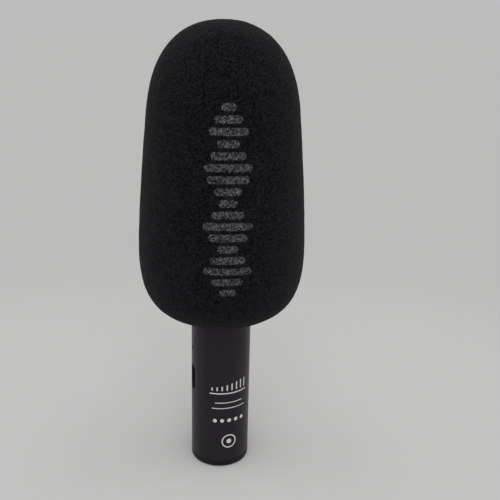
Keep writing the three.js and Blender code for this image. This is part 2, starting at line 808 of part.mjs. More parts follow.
// The socket's body has a bore for the plug and a long window on each side for a leaf contact.
function buildJack() {
  const halfWidth = jackWidth / 2;
  const halfHeight = jackHeight / 2;
  const block = box([-halfWidth, -halfHeight, jackBottom], [halfWidth, halfHeight, jackTop]);
  const earFace = boardFront - seatGap;
  const earReach = halfWidth + jackEarWidth;
  const earMiddle = (jackBottom + jackTop) / 2;
  const ears = box(
    [-earReach, earFace - jackEarThickness, earMiddle - jackEarLength / 2],
    [earReach, earFace, earMiddle + jackEarLength / 2],
  );
  const boreLength = jackBoreTop - jackBottom + cutOverrun;
  const bore = disc(jackBoreRadius, jackBottom - cutOverrun, boreLength, smallFlats);
  const windowHalf = leafWindow / 2;
  const tipWindow = box(
    [-windowHalf, -halfHeight - cutOverrun, jackBottom + jackCollar],
    [windowHalf, 0, leafRoot + tipLeafLength + seatGap],
  );
  const ringWindow = box(
    [-windowHalf, 0, jackBottom + jackCollar],
    [windowHalf, halfHeight + cutOverrun, leafRoot + ringLeafLength + seatGap],
  );
  addPiece("jack_body", carve([block, ears], [bore, tipWindow, ringWindow]), matteBlack);

  const ferruleLength = capFlange - ferruleRecess;
  const ferrule = ring(ferruleRadius, jackBoreRadius, ferruleRecess, ferruleLength, capsuleFlats);
  addPiece("jack_ferrule", ferrule, gold);
  addPiece("jack_tip_contact", leafContact(tipLeafLength, -1), gold);
  addPiece("jack_ring_contact", leafContact(ringLeafLength, 1), gold);
}

// A leaf contact seen from the side: a flat strip beside the bore with a bent tip that reaches into it.
function leafContact(length, side) {
  const outer = leafRest + leafThickness;
  const peak = leafRoot + length - leafPeakLength;
  const points = [
    [leafRest, leafRoot],
    [outer, leafRoot],
    [outer, peak - leafPeakLength],
    [outer - leafRise - seatGap, peak],
    [outer, leafRoot + length],
    [leafRest, leafRoot + length],
    [leafRest - leafRise - seatGap, peak],
    [leafRest, peak - leafPeakLength],
  ];
  const outline = points.map(([y, z]) => new THREE.Vector2(y, z));
  const settings = { depth: leafWidth, bevelEnabled: false };
  const leaf = new THREE.ExtrudeGeometry(new THREE.Shape(outline), settings);
  leaf.translate(0, 0, -leafWidth / 2).rotateX(Math.PI / 2).rotateZ(Math.PI / 2);
  return side > 0 ? leaf : leaf.rotateZ(Math.PI);
}

buildWindshield();
buildBarrel();
buildEndCap();
buildNose();
buildSleeves();
buildCapsuleBoot();
buildCapsule();
buildCapsuleLeads();
buildBoard();
buildCarrier();
buildScrews();
buildSolderedParts();
buildDataPort();
buildStatusLight();
buildJack();

export default group;
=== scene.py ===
import math
from contextlib import contextmanager
from functools import cached_property

import bmesh
import bpy
from mathutils import Matrix, Vector


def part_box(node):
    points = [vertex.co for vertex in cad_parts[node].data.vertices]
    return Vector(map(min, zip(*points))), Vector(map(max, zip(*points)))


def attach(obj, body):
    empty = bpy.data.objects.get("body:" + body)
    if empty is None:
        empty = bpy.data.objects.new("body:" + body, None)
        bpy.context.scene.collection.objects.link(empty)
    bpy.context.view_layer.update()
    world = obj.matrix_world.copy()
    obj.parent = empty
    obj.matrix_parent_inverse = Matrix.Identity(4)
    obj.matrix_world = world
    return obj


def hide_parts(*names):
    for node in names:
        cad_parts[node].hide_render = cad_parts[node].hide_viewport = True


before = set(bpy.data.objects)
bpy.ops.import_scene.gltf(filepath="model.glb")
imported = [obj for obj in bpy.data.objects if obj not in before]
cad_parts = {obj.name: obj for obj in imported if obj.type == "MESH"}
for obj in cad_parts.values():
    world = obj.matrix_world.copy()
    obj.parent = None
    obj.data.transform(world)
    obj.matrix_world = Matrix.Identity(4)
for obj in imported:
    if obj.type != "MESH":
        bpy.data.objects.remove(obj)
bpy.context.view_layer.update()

bl_info = {
    "name": "On-camera microphone",
    "version": (1, 0, 0),
    "blender": (4, 5, 0),
    "location": "3D View > Sidebar > Microphone",
    "description": "Builds a tube microphone with a foam windshield over its CAD frame",
    "category": "Object",
}

MM = 0.001


def across(node):
    """Radius, foot and top of a CAD node that is round about the Z axis."""
    low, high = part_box(node)
    return high.y, low.z, high.z


# Sizes of the frame
BARREL_RADIUS = across("barrel")[0]
LINING_RADIUS, SLEEVE_FOOT, SLEEVE_TOP = across("slot_mesh_sleeve")
VENT_SLEEVE_FOOT, VENT_SLEEVE_TOP = across("vent_mesh_sleeve")[1:]
GRILLE_RADIUS, GRILLE_FOOT, GRILLE_TOP = across("nose_grille")
FELT_RADIUS, FELT_FOOT, FELT_TOP = across("front_felt")
NOSE_FOOT, NOSE_TOP = across("nose_ring")[1:]
CAP_TOP = across("end_cap")[2]
FOAM_RADIUS, FOAM_FOOT, FOAM_TOP = across("foam_windshield")
BOOT_FOOT, BOOT_TOP = across("capsule_boot")[1:]
CAPSULE_RADIUS, CAPSULE_FOOT, CAPSULE_TOP = across("capsule_can")
STACK_RADIUS, DISC_BOARD_FOOT, _ = across("capsule_board")

# Sizes repeated from the CAD source
BOARD_FRONT = 1.93 * MM
BOARD_BACK = 2.93 * MM
PART_SEAT = 1.63 * MM
BARREL_WALL = 1 * MM
CAP_FLANGE = 2.5 * MM
CAP_EDGE = 1 * MM
CAP_HOLE = 2.95 * MM
CAP_SPIGOT_INNER = 8 * MM
CAP_SCREWS = ((-3.4 * MM, 5.889 * MM), (3.4 * MM, 5.889 * MM))
BOSS_RADIUS = 1.4 * MM
SCREW_HOLE = 0.7 * MM
NOSE_SHOULDER = 142.3 * MM
NOSE_EDGE = 0.9 * MM
NOSE_INNER = 8.4 * MM
NOSE_WINDOW = 7.5 * MM
NOSE_LIP = 0.8 * MM
CHAMFER = 0.3 * MM
HOLE_RADIUS = 0.65 * MM
HOLE_PITCH = 2 * MM
HOLE_RINGS = 3
SLEEVE_WALL = 0.35 * MM
SLOT_COUNT = 12
SLOT_HIGHEST = 129.5 * MM
SLOT_PITCH = 4.399 * MM
SLOT_HEIGHT = 2 * MM
SLOT_SPAN = 16.4 * MM
VENT_HEIGHTS = (59.75 * MM, 63.75 * MM)
PORT_HEIGHT = 33.25 * MM
PORT_WIDTH = 8.94 * MM
PORT_THICKNESS = 3.26 * MM
PORT_WALL = 0.3 * MM
PORT_MARGIN = 0.3 * MM
LIGHT_HEIGHT = 44.8 * MM
LIGHT_RADIUS = 0.5 * MM
LIGHT_HOLE = 0.65 * MM
SOCKET_RADIUS = 1.9 * MM
FERRULE_RADIUS = 2.65 * MM
STACK_INNER = 5.25 * MM
BOARD_SCREWS = (20.5 * MM, 52.5 * MM)
SCREW_RADIUS = 0.45 * MM
HEAD_RADIUS = MM
HEAD_HEIGHT = 0.8 * MM
LEAD_RADIUS = 0.3 * MM
LEAD_SPREAD = 1.8 * MM
LEAD_PAD = 53.8 * MM
LEAF_REST = 2.325 * MM
LEAF_ROOT = 4.7 * MM
FOAM_BORE = 10.8 * MM
FOAM_BORE_TOP = 144.8 * MM
FOAM_MOUTH = 11.6 * MM
FOAM_CHAMFER = 0.8 * MM
FOAM_WIDEST = 81 * MM
FOAM_SHOULDER = (24.8 * MM, 128 * MM)

# How far the foam's skin stands proud of its CAD solid
FOAM_SWELL = 0.2 * MM

# Width that shows of the joint between barrel and caps
SEAM = 0.08 * MM

# How far a cutting tool runs past what it cuts
PAST = MM

# Flats round the barrel, the pieces inside it and small round pieces
BARREL_FLATS, INNER_FLATS, SMALL_FLATS = 144, 96, 32


# The windshield

def curve_points(handles, steps):
    """Points on the Bezier curve of the given handles, without its first."""
    points = []
    for step in range(1, steps + 1):
        row = [Vector(handle) for handle in handles]
        while len(row) > 1:
            row = [a.lerp(b, step / steps) for a, b in zip(row, row[1:])]
        points.append(tuple(row[0]))
    return points


def foam_outline():
    """The windshield's profile from the middle of its bore over the mouth to the tip."""
    radius = FOAM_RADIUS + FOAM_SWELL
    shoulder = (FOAM_SHOULDER[0] + FOAM_SWELL, FOAM_SHOULDER[1])
    flare, rise, crown = 12.7 * MM, 14.9 * MM, 16.4 * MM
    corner = (
        (FOAM_MOUTH, FOAM_FOOT),
        (FOAM_MOUTH + flare, FOAM_FOOT + flare * math.tan(math.radians(13))),
        (radius, FOAM_WIDEST - 15 * MM),
        (radius, FOAM_WIDEST),
    )
    side = ((radius, FOAM_WIDEST), (radius, FOAM_WIDEST + 14 * MM), shoulder)
    dome = (
        shoulder,
        (shoulder[0] - rise * math.tan(math.radians(5.5)), shoulder[1] + rise),
        (crown + 2 * FOAM_SWELL, FOAM_TOP),
        (0, FOAM_TOP),
    )
    rounding = 0.25 * MM
    bore = [(0, FOAM_BORE_TOP), (FOAM_BORE, FOAM_BORE_TOP), (FOAM_BORE, FOAM_FOOT + FOAM_CHAMFER)]
    bore += [(FOAM_BORE + rounding, FOAM_FOOT + rounding), (FOAM_MOUTH, FOAM_FOOT)]
    curves = ((corner, 24), (side, 14), (dome, 26))
    return bore + [point for handles, steps in curves for point in curve_points(handles, steps)]


# Modelling by hand

def deselect_all():
    bpy.ops.object.select_all(action="DESELECT")


def take(piece):
    """Makes a piece the only one selected."""
    deselect_all()
    piece.select_set(True)
    bpy.context.view_layer.objects.active = piece


def add(name, primitive, **settings):
    """Adds a primitive under a name, with nothing else selected."""
    deselect_all()
    primitive(**settings)
    bpy.context.object.name = name
    return bpy.context.object


@contextmanager
def editing(piece):
    """Holds a piece in edit mode, at first with all of it selected."""
    take(piece)
    bpy.ops.object.mode_set(mode="EDIT")
    bpy.ops.mesh.select_all(action="SELECT")
    yield
    bpy.ops.object.mode_set(mode="OBJECT")


def modify(piece, kind, **settings):
    """Adds a modifier with its settings and applies it."""
    take(piece)
    change = piece.modifiers.new(kind.lower(), kind)
    for name, value in settings.items():
        setattr(change, name, value)
    bpy.ops.object.modifier_apply(modifier=change.name)
    return piece


def settle(piece):
    """Closes a new piece: merges doubles, points its faces outwards and puts its place in its mesh."""
    take(piece)
    bpy.ops.object.transform_apply(location=True, rotation=True, scale=True)
    with editing(piece):
        bpy.ops.mesh.remove_doubles(threshold=1e-6)
        bpy.ops.mesh.normals_make_consistent(inside=False)
    return piece


def lathe(name, profile, flats):
    """Turns a profile of (radius, height) points: extrudes a circle from point to point."""
    solid_start = profile[0][0] == 0
    (radius, height), *rest = profile[1:] if solid_start else profile
    fill = "TRIFAN" if solid_start else "NOTHING"
    circle = bpy.ops.mesh.primitive_circle_add
    piece = add(name, circle, vertices=flats, radius=radius, location=(0, 0, height), fill_type=fill)
    with editing(piece):
        if solid_start:
            bpy.ops.mesh.region_to_loop()
        for wider, higher in rest:
            bpy.ops.mesh.extrude_edges_move(TRANSFORM_OT_translate={"value": (0, 0, higher - height)})
            if wider == 0:
                bpy.ops.mesh.merge(type="CENTER")
            elif wider != radius:
                growth = wider / radius
                bpy.ops.transform.resize(value=(growth, growth, 1), center_override=(0, 0, 0))
            radius, height = wider, higher
    return settle(piece)


def ring_profile(outer, inner, foot, top, edge):
    """The closed profile of a plain ring whose four edges are broken by a small amount."""
    outside = [(outer - edge, foot), (outer, foot + edge), (outer, top - edge), (outer - edge, top)]
    inside = [(inner + edge, top), (inner, top - edge), (inner, foot + edge), (inner + edge, foot)]
    return outside + inside + outside[:1]


def disc_profile(radius, foot, top, edge):
    """The profile of a plain disc whose two edges are broken by a small amount."""
    side = [(radius - edge, foot), (radius, foot + edge), (radius, top - edge), (radius - edge, top)]
    return [(0, foot), *side, (0, top)]


def in_metres(points):
    """Points typed in millimetres, in metres."""
    return [tuple(value * MM for value in point) for point in points]


def round_over(centre_radius, centre_height, size, start, end, steps=8):
    """Profile points of a rounded edge between two angles in degrees."""
    points = []
    for step in range(steps + 1):
        turn = math.radians(start + (end - start) * step / steps)
        points.append((centre_radius + size * math.cos(turn), centre_height + size * math.sin(turn)))
    return points


def lay(piece, turn=(0, 0, 0), place=(0, 0, 0)):
    """Turns a piece about the origin, moves it to its place and applies both."""
    take(piece)
    piece.rotation_euler = turn
    piece.location = place
    bpy.ops.object.transform_apply(location=True, rotation=True, scale=True)
    return piece


def block(name, low, high, edge=0.0, segments=2):
    """A box between two corners with its edges rounded."""
    low, high = Vector(low), Vector(high)
    cube = bpy.ops.mesh.primitive_cube_add
    piece = settle(add(name, cube, size=1, location=(low + high) / 2, scale=high - low))
    return break_edges(piece, edge, segments) if edge else piece


def rod(name, radius, start, end, flats=24):
    """A round bar from one point to another, for joining to or cutting from a piece."""
    start, end = Vector(start), Vector(end)
    along = end - start
    return settle(add(
        name,
        bpy.ops.mesh.primitive_cylinder_add,
        vertices=flats,
        radius=radius,
        depth=along.length,
        location=(start + end) / 2,
        rotation=along.to_track_quat("Z", "Y").to_euler(),
    ))


def stadium_bar(name, width, length, start, end, height, upright=False, flats=32):
    """A round-ended bar along X: a disc whose one half is moved off, extruded to its depth."""
    circle = bpy.ops.mesh.primitive_circle_add
    piece = add(name, circle, vertices=flats, radius=width / 2, fill_type="NGON")
    with editing(piece):
        bpy.ops.mesh.select_mode(type="VERT")
        bpy.ops.mesh.select_all(action="DESELECT")
        shape = bmesh.from_edit_mesh(piece.data)
        for vertex in shape.verts:
            vertex.select_set(vertex.co.y > -1e-7)
        bmesh.update_edit_mesh(piece.data)
        bpy.ops.transform.translate(value=(0, length - width, 0))
        bpy.ops.mesh.select_all(action="SELECT")
        bpy.ops.transform.translate(value=(0, (width - length) / 2, start))
        bpy.ops.mesh.extrude_region_move(TRANSFORM_OT_translate={"value": (0, 0, end - start)})
    turn = Matrix.Rotation(math.pi / 2, 4, "Y")
    if upright:
        turn = Matrix.Rotation(math.pi / 2, 4, "X") @ turn
    piece.matrix_world = Matrix.Translation((0, 0, height)) @ turn
    return settle(piece)


def bent_strip(name, points, width, thickness):
    """A strip as wide as X that follows (y, z) points: an edge extruded on and on, then thickened."""
    (y, z), *rest = points
    piece = add(name, bpy.ops.mesh.primitive_plane_add, size=width, location=(0, y, z))
    with editing(piece):
        bpy.ops.transform.resize(value=(1, 0, 1), center_override=(0, y, z))
        bpy.ops.mesh.remove_doubles(threshold=1e-6)
        for next_y, next_z in rest:
            bpy.ops.mesh.extrude_edges_move(TRANSFORM_OT_translate={"value": (0, next_y - y, next_z - z)})
            y, z = next_y, next_z
    return modify(settle(piece), "SOLIDIFY", thickness=thickness, offset=0, use_even_offset=True)


def wire(name, points, radius):
    """A smooth round wire through points."""
    piece = add(name, bpy.ops.curve.primitive_nurbs_path_add, location=(0, 0, 0))
    spline = piece.data.splines[0]
    spline.points.add(len(points) - len(spline.points))
    for knot, place in zip(spline.points, points):
        knot.co = (*place, 1)
    spline.order_u = 4
    spline.use_endpoint_u = True
    spline.resolution_u = 6
    piece.data.bevel_depth = radius
    piece.data.bevel_resolution = 4
    piece.data.use_fill_caps = True
    bpy.ops.object.convert(target="MESH")
    return smooth(settle(bpy.context.object), angle=40)


def cut(piece, *tools, operation="DIFFERENCE"):
    """Cuts tools out of a piece, or joins them to it, and removes them."""
    for tool in tools:
        modify(piece, "BOOLEAN", object=tool, operation=operation, solver="EXACT")
        bpy.data.objects.remove(tool)
    return piece


def merged(name, pieces):
    """Puts separate pieces that don't touch into one."""
    take(pieces[0])
    for piece in pieces:
        piece.select_set(True)
    bpy.ops.object.join()
    pieces[0].name = name
    return pieces[0]


def break_edges(piece, width, segments=2, angle=35):
    """Rounds the sharp edges of a piece."""
    limit = {"limit_method": "ANGLE", "angle_limit": math.radians(angle)}
    return modify(piece, "BEVEL", width=width, segments=segments, use_clamp_overlap=False, **limit)


def join_flats(piece):
    """Joins the faces of a piece that lie in one plane."""
    with editing(piece):
        bpy.ops.mesh.dissolve_limited(angle_limit=math.radians(0.5))
    return piece


def copy_of(piece, name, turn=(0, 0, 0), place=(0, 0, 0)):
    """A copy with its own mesh, turned about the origin and then moved."""
    take(piece)
    bpy.ops.object.duplicate(linked=False)
    bpy.context.object.name = name
    return lay(bpy.context.object, turn, place)


def spread(piece, places):
    """One mesh of a piece's copies at places; the piece itself goes."""
    copies = [copy_of(piece, piece.name, place=place) for place in places]
    bpy.data.objects.remove(piece)
    return merged(copies[0].name, copies)


def smooth(piece, angle=30):
    """Smooths a piece but for its sharp edges, led by its large faces."""
    take(piece)
    bpy.ops.object.shade_smooth_by_angle(angle=math.radians(angle))
    return modify(piece, "WEIGHTED_NORMAL", keep_sharp=True)


def place_piece(piece, slot, finish, *nodes, body="microphone"):
    """Gives a finished piece its finish and its body, and hides the CAD nodes that it stands for; its slot
    is not used.
    """
    piece.data.materials.clear()
    piece.data.materials.append(finish)
    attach(piece, body)
    if nodes:
        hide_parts(*nodes)


# Finishes

def arithmetic(kind, reflected=False):
    """An arithmetic operator that adds one Math node."""
    def work(signal, other):
        pair = (other, signal) if reflected else (signal, other)
        return signal.finish.maths(kind, *pair)
    return work


class Signal:
    """A node's output in a sum: arithmetic on it adds Math nodes."""

    def __init__(self, finish, socket):
        self.finish = finish
        self.socket = socket

    __add__ = arithmetic("ADD")
    __radd__ = arithmetic("ADD", reflected=True)
    __sub__ = arithmetic("SUBTRACT")
    __rsub__ = arithmetic("SUBTRACT", reflected=True)
    __mul__ = arithmetic("MULTIPLY")
    __rmul__ = arithmetic("MULTIPLY", reflected=True)
    __truediv__ = arithmetic("DIVIDE")
    __pow__ = arithmetic("POWER")

    def __abs__(self):
        return self.finish.maths("ABSOLUTE", self)


class Finish:
    """A material, or a world, that is put together node by node."""

    def __init__(self, name, family=bpy.data.materials):
        self.data = family.new(name)
        self.data.use_nodes = True
        self.tree = self.data.node_tree
        self.tree.nodes.clear()

    def node(self, kind, settings=None, values=None, output=0):
        """Adds a node of a type with its settings, then sets or links its sockets."""
        made = self.tree.nodes.new(kind)
        for name, value in (settings or {}).items():
            if name == "stops":
                self.set_stops(made.color_ramp, value)
            else:
                setattr(made, name, value)
        for key, value in (values or {}).items():
            socket = made.inputs[key]
            if isinstance(value, Signal):
                self.tree.links.new(value.socket, socket)
            elif socket.type == "RGBA" and len(value) == 3:
                socket.default_value = (*value, 1)
            else:
                socket.default_value = value
        return Signal(self, made.outputs[output]) if made.outputs else None

    def set_stops(self, ramp, stops):
        """Sets a stepped ramp to (place, grey level) stops."""
        ramp.interpolation = "CONSTANT"
        while len(ramp.elements) < len(stops):
            ramp.elements.new(0.5)
        for element, (place, level) in zip(ramp.elements, stops):
            element.position = place
            element.color = (level, level, level, 1)

    def maths(self, kind, *values):
        return self.node("ShaderNodeMath", {"operation": kind}, dict(enumerate(values)))

    @cached_property
    def place(self):
        return self.node("ShaderNodeTexCoord", output="Object")

    def axes(self):
        """The x, y and z of a place on the piece, in metres."""
        return [self.node("ShaderNodeSeparateXYZ", None, {0: self.place}, axis) for axis in range(3)]

    def around(self, radius):
        """Millimetres round the barrel's axis, from its plain front and growing to +X, and the height."""
        x, y, z = self.axes()
        return self.maths("ARCTAN2", x, y * -1) * (radius / MM), z / MM

    def chance_of(self, column, row):
        """A steady chance from 0 to 1 for each place in a grid of whole numbers."""
        place = self.node("ShaderNodeCombineXYZ", None, {0: column, 1: row})
        return self.node("ShaderNodeTexWhiteNoise", {"noise_dimensions": "2D"}, {"Vector": place})

    def noise(self, size, detail=2.0, roughness=0.5, grain=None):
        """Soft patches of a size, packed closer along the axes where the grain is over 1."""
        place = self.place
        if grain:
            place = self.node("ShaderNodeVectorMath", {"operation": "MULTIPLY"}, {0: place, 1: grain})
        values = {"Vector": place, "Scale": 1 / size, "Detail": detail, "Roughness": roughness}
        return self.node("ShaderNodeTexNoise", None, values)

    def cells(self, size, feature, output="Distance", **values):
        """Irregular cells of a size: a feature of them, such as the distance to the next cell."""
        values = {"Vector": self.place, "Scale": 1 / size, **values}
        return self.node("ShaderNodeTexVoronoi", {"feature": feature}, values, output)

    def fade(self, value, start, end, low=0.0, high=1.0):
        """Goes smoothly from low to high as a value goes from start to end."""
        values = {"Value": value, "From Min": start, "From Max": end, "To Min": low, "To Max": high}
        return self.node("ShaderNodeMapRange", {"interpolation_type": "SMOOTHSTEP"}, values)

    def blend(self, amount, first, second):
        """Mixes two colours."""
        settings = {"data_type": "RGBA"}
        return self.node("ShaderNodeMix", settings, {0: amount, 6: first, 7: second}, 2)

    def bump(self, height, distance, strength=1.0):
        values = {"Height": height, "Distance": distance, "Strength": strength}
        return self.node("ShaderNodeBump", None, values)

    def surface(self, **values):
        """Ends the material in one shader whose sockets are named with underscores for spaces."""
        sockets = {name.replace("_", " "): value for name, value in values.items()}
        return self.close(self.node("ShaderNodeBsdfPrincipled", None, sockets))

    def close(self, shader, kind="ShaderNodeOutputMaterial"):
        self.node(kind, None, {"Surface": shader})
        return self.data


def least(first, *others):
    """The smallest of a signal and others, which may be plain numbers."""
    for other in others:
        first = first.finish.maths("MINIMUM", first, other)
    return first


def most(first, *others):
    """The largest of a signal and others, which may be plain numbers."""
    for other in others:
        first = first.finish.maths("MAXIMUM", first, other)
    return first


def length_of(x, y):
    return (x * x + y * y) ** 0.5


def dimmed(colour, share):
    """A colour times a share, no channel over 1."""
    return [min(1.0, share * level) for level in colour]


def bar_stack(finish, settings):
    """Where the windshield is printed: a stack of round-ended bars of changing length."""
    shares = (0.34, 0.62, 0.95, 0.7, 0.42, 0.78, 1.0, 0.66, 0.38)
    shares += (0.55, 0.88, 1.0, 0.74, 0.48, 0.84, 0.6, 0.32)
    foot, top, turned, soft = 73.5, 133.5, -14.8, 0.12
    across_bar, up = finish.around(FOAM_RADIUS)
    across_bar = across_bar - math.radians(turned) * FOAM_RADIUS / MM
    share = (up - foot) / (top - foot)
    stops = [(index / len(shares), value) for index, value in enumerate(shares)]
    reach = finish.node("ShaderNodeValToRGB", {"stops": stops}, {"Fac": share})
    pitch = (top - foot) / len(shares)
    thickness = settings.bar_thickness / MM
    off_middle = finish.maths("FRACT", share * len(shares)) * pitch - pitch / 2
    past_end = most(abs(across_bar) - (reach * (settings.bar_length / MM / 2) - thickness / 2), 0.0)
    distance = length_of(past_end, off_middle) - thickness / 2
    within = least(finish.fade(up, foot - 0.02, foot), finish.fade(up, top, top + 0.02, 1.0, 0.0))
    return finish.fade(distance, -soft, soft, 1.0, 0.0) * within


def foam_finish(settings):
    """Open-cell foam: a net of struts round pores painted dark as painted shade, each cell painted lit more
    or less as painted light, and ink on the struts.
    """
    finish = Finish("foam")
    size = settings.cell_size
    # Painted shade: the pores between the struts are painted near black.
    net = finish.fade(finish.cells(size, "DISTANCE_TO_EDGE"), 0.03, 0.26, 1.0, 0.08)
    nearby = finish.cells(size, "SMOOTH_F1", "Color", Smoothness=0.1)
    chance = finish.node("ShaderNodeSeparateColor", None, {0: nearby})
    # Painted light: each cell is painted lighter or darker at random, like light catching its struts.
    lit = net * (0.14 + chance * chance * 2.65)
    lightness = lit * (0.85 + finish.noise(9 * MM) * 0.3)
    drift = finish.fade(finish.noise(5 * MM, detail=3.0), 0.35, 0.65)
    red, green, blue = settings.foam_colour
    hue = finish.blend(drift, (red, green, blue), (1.06 * red, 1.04 * green, 0.8 * blue))
    bare = finish.blend(lightness, (0, 0, 0), hue)
    caught = bar_stack(finish, settings) * net * (0.1 + chance * chance * 0.9)
    return finish.surface(
        Base_Color=finish.blend(caught, bare, settings.ink_colour),
        Roughness=1.0,
        Specular_IOR_Level=0.05,
        Sheen_Weight=0.035,
        Sheen_Roughness=0.5,
        Sheen_Tint=(1.0, 0.97, 0.86, 1.0),
        Normal=finish.bump(net, settings.cell_depth, 0.6),
    )


def printed_marks(finish):
    """Where the barrel is printed: a scale of ticks over rules, a row of dots and a ringed dot."""
    tick_gap, dot_gap, scale_height, dots_height, ring_height = 0.9, 1.3, 31.2, 19.2, 10.6
    rules = ((30.1, 7.2, 0.22), (26.4, 5.2, 0.16), (24.2, 6.4, 0.16))
    side, up = finish.around(BARREL_RADIUS)
    growth = finish.fade(side, -7.4, 7.4, 1.2, 3.6)
    between_ticks = 0.66 - finish.maths("PINGPONG", side, tick_gap)
    over, under = up - scale_height - growth, scale_height - up
    shapes = [most(most(between_ticks, abs(side) - 7.0), most(under, over))]
    for height, half_length, half_thickness in rules:
        shapes.append(most(abs(up - height) - half_thickness, abs(side) - half_length))
    along = dot_gap - finish.maths("PINGPONG", side + dot_gap, dot_gap)
    shapes.append(most(length_of(along, up - dots_height) - 0.72, abs(side) - 6.4))
    off_ring = length_of(side, up - ring_height)
    nearest = least(*shapes, abs(off_ring - 2.5) - 0.22, off_ring - 0.9)
    front = finish.fade(abs(side), 9.0, 9.1, 1.0, 0.0)
    return finish.fade(nearest, -0.05, 0.05, 1.0, 0.0) * front


def coated_finish(name, settings, marked=False, shade=1.0):
    """Satin black coating on blasted metal, with soft smudges and, on the barrel, white print; a shade under
    1 darkens its colour and its reflection as painted shade.
    """
    finish = Finish(name)
    smudge = finish.noise(14 * MM, detail=3.0)
    height = finish.noise(0.11 * MM)
    height_share = finish.fade(finish.axes()[2], 2 * MM, 34 * MM)
    tint = finish.fade(smudge + height_share * 0.35, 0.45, 0.85)
    # Painted shade: a shade under 1 darkens the coating, as on the rear cap.
    tone = finish.blend(tint, dimmed(settings.coating_colour, shade), dimmed(settings.coating_tint, shade))
    rough = 0.35 + smudge * 0.10
    if marked:
        mark = printed_marks(finish)
        tone = finish.blend(mark, tone, settings.print_colour)
        rough = rough + mark * 0.12
        height = height + mark * 1.5
    bump = finish.bump(height, 0.004 * MM, strength=0.8)
    return finish.surface(Base_Color=tone, Roughness=rough, Specular_IOR_Level=0.28 * shade, Normal=bump)


def mesh_finish(name, settings):
    """Fine plain-woven wire mesh, seen as a weave whose openings are painted near black as painted shade."""
    finish = Finish(name)
    side, up = finish.around(LINING_RADIUS)
    wires_round = 144
    pitch = math.tau * LINING_RADIUS / MM / wires_round
    side, up = side * (math.pi / pitch), up * (math.pi / pitch)
    warp, weft = abs(finish.maths("SINE", side)), abs(finish.maths("SINE", up))
    crossing = finish.maths("COSINE", side) * finish.maths("COSINE", up)
    height = most(warp * (0.75 + crossing * 0.25), weft * (0.75 - crossing * 0.25))
    # Painted shade: where no wire lies, the openings are painted near black.
    wire_over_painted_shade = finish.fade(most(warp, weft), 0.45, 0.75)
    grime = 0.8 + finish.noise(4 * MM) * 0.4
    return finish.surface(
        Base_Color=finish.blend(wire_over_painted_shade * grime, (0.004, 0.004, 0.0045), settings.mesh_colour),
        Metallic=wire_over_painted_shade * 0.9,
        Roughness=0.7 - wire_over_painted_shade * 0.3,
        Normal=finish.bump(height, 0.08 * MM),
    )


def metal_finish(name, colour, roughness, grain=(1, 1, 12)):
    """Plated or turned metal with fine lines across one axis and a little tarnish."""
    finish = Finish(name)
    lines = finish.noise(0.5 * MM, 4.0, 0.65, grain)
    tarnish = finish.noise(2.4 * MM, detail=3.0)
    return finish.surface(
        Base_Color=finish.blend(tarnish, colour, dimmed(colour, 0.8)),
        Metallic=1.0,
        Roughness=roughness + lines * 0.14 + tarnish * 0.06,
        Normal=finish.bump(lines, 0.003 * MM, strength=0.7),
    )


def moulded_finish(name, colour, roughness=0.5):
    """Moulded plastic with a fine spark-eroded texture."""
    finish = Finish(name)
    skin = finish.noise(0.08 * MM)
    return finish.surface(
        Base_Color=finish.blend(finish.noise(5 * MM), colour, dimmed(colour, 1.25)),
        Roughness=roughness + skin * 0.12,
        Specular_IOR_Level=0.4,
        Normal=finish.bump(skin, 0.006 * MM, strength=0.7),
    )


def rubber_finish():
    """Matt black rubber with a faint bloom."""
    finish = Finish("rubber")
    bloom = finish.noise(3 * MM, 4.0, 0.6)
    return finish.surface(
        Base_Color=finish.blend(bloom, (0.016, 0.016, 0.017), (0.034, 0.034, 0.036)),
        Roughness=0.72 + bloom * 0.2,
        Specular_IOR_Level=0.3,
        Normal=finish.bump(finish.noise(0.15 * MM), 0.01 * MM, strength=0.6),
    )


def felt_finish():
    """Pressed black felt: short tangled fibres."""
    finish = Finish("felt")
    fibre = most(*(finish.noise(0.35 * MM, 5.0, 0.7, grain) for grain in ((1, 6, 1), (6, 1, 1))))
    return finish.surface(
        Base_Color=finish.blend(finish.fade(fibre, 0.45, 0.75), (0.01, 0.01, 0.011), (0.05, 0.05, 0.054)),
        Roughness=1.0,
        Specular_IOR_Level=0.1,
        Sheen_Weight=0.2,
        Normal=finish.bump(fibre, 0.06 * MM),
    )


def board_finish(settings, lying=False):
    """Green solder mask over copper tracks that run up the board, step aside and end in plated vias."""
    finish = Finish("board_green")
    x, y, z = finish.axes()
    up = y if lying else z
    pitch, track_length = 0.5 * MM, 9 * MM
    step_aside = finish.fade(finish.maths("PINGPONG", up, 6 * MM), 2.4 * MM, 3.9 * MM)
    lane = x / pitch + step_aside * 3
    number = finish.maths("FLOOR", lane)
    aside = abs(finish.maths("FRACT", lane) - 0.5) * pitch
    run = up / track_length + number * 0.37
    present = finish.maths("GREATER_THAN", finish.chance_of(number, finish.maths("FLOOR", run)), 0.42)
    plated = finish.maths("GREATER_THAN", finish.chance_of(number, finish.maths("ROUND", run)), 0.7)
    from_end = finish.maths("PINGPONG", run, 0.5) * track_length
    track = present * finish.fade(aside, 0.09 * MM, 0.11 * MM, 1.0, 0.0)
    via = plated * finish.fade(length_of(aside, from_end), 0.17 * MM, 0.19 * MM, 1.0, 0.0)
    covered = finish.blend(track, settings.board_colour, dimmed(settings.board_colour, 1.9))
    return finish.surface(
        Base_Color=finish.blend(via, covered, (0.6, 0.42, 0.16)),
        Metallic=via,
        Roughness=0.34 + finish.noise(2 * MM) * 0.1,
        Normal=finish.bump(most(track, via), 0.02 * MM, strength=0.6),
    )


def film_finish():
    """Metallised film with faint radial tension lines."""
    finish = Finish("film")
    x, y, _ = finish.axes()
    ripple = finish.maths("SINE", finish.maths("ARCTAN2", x, y) * 24) * 0.5 + 0.5
    return finish.surface(
        Base_Color=finish.blend(ripple, (0.72, 0.68, 0.56), (0.6, 0.56, 0.46)),
        Metallic=0.8,
        Roughness=0.22 + ripple * 0.1,
        Normal=finish.bump(ripple, 0.004 * MM, strength=0.5),
    )


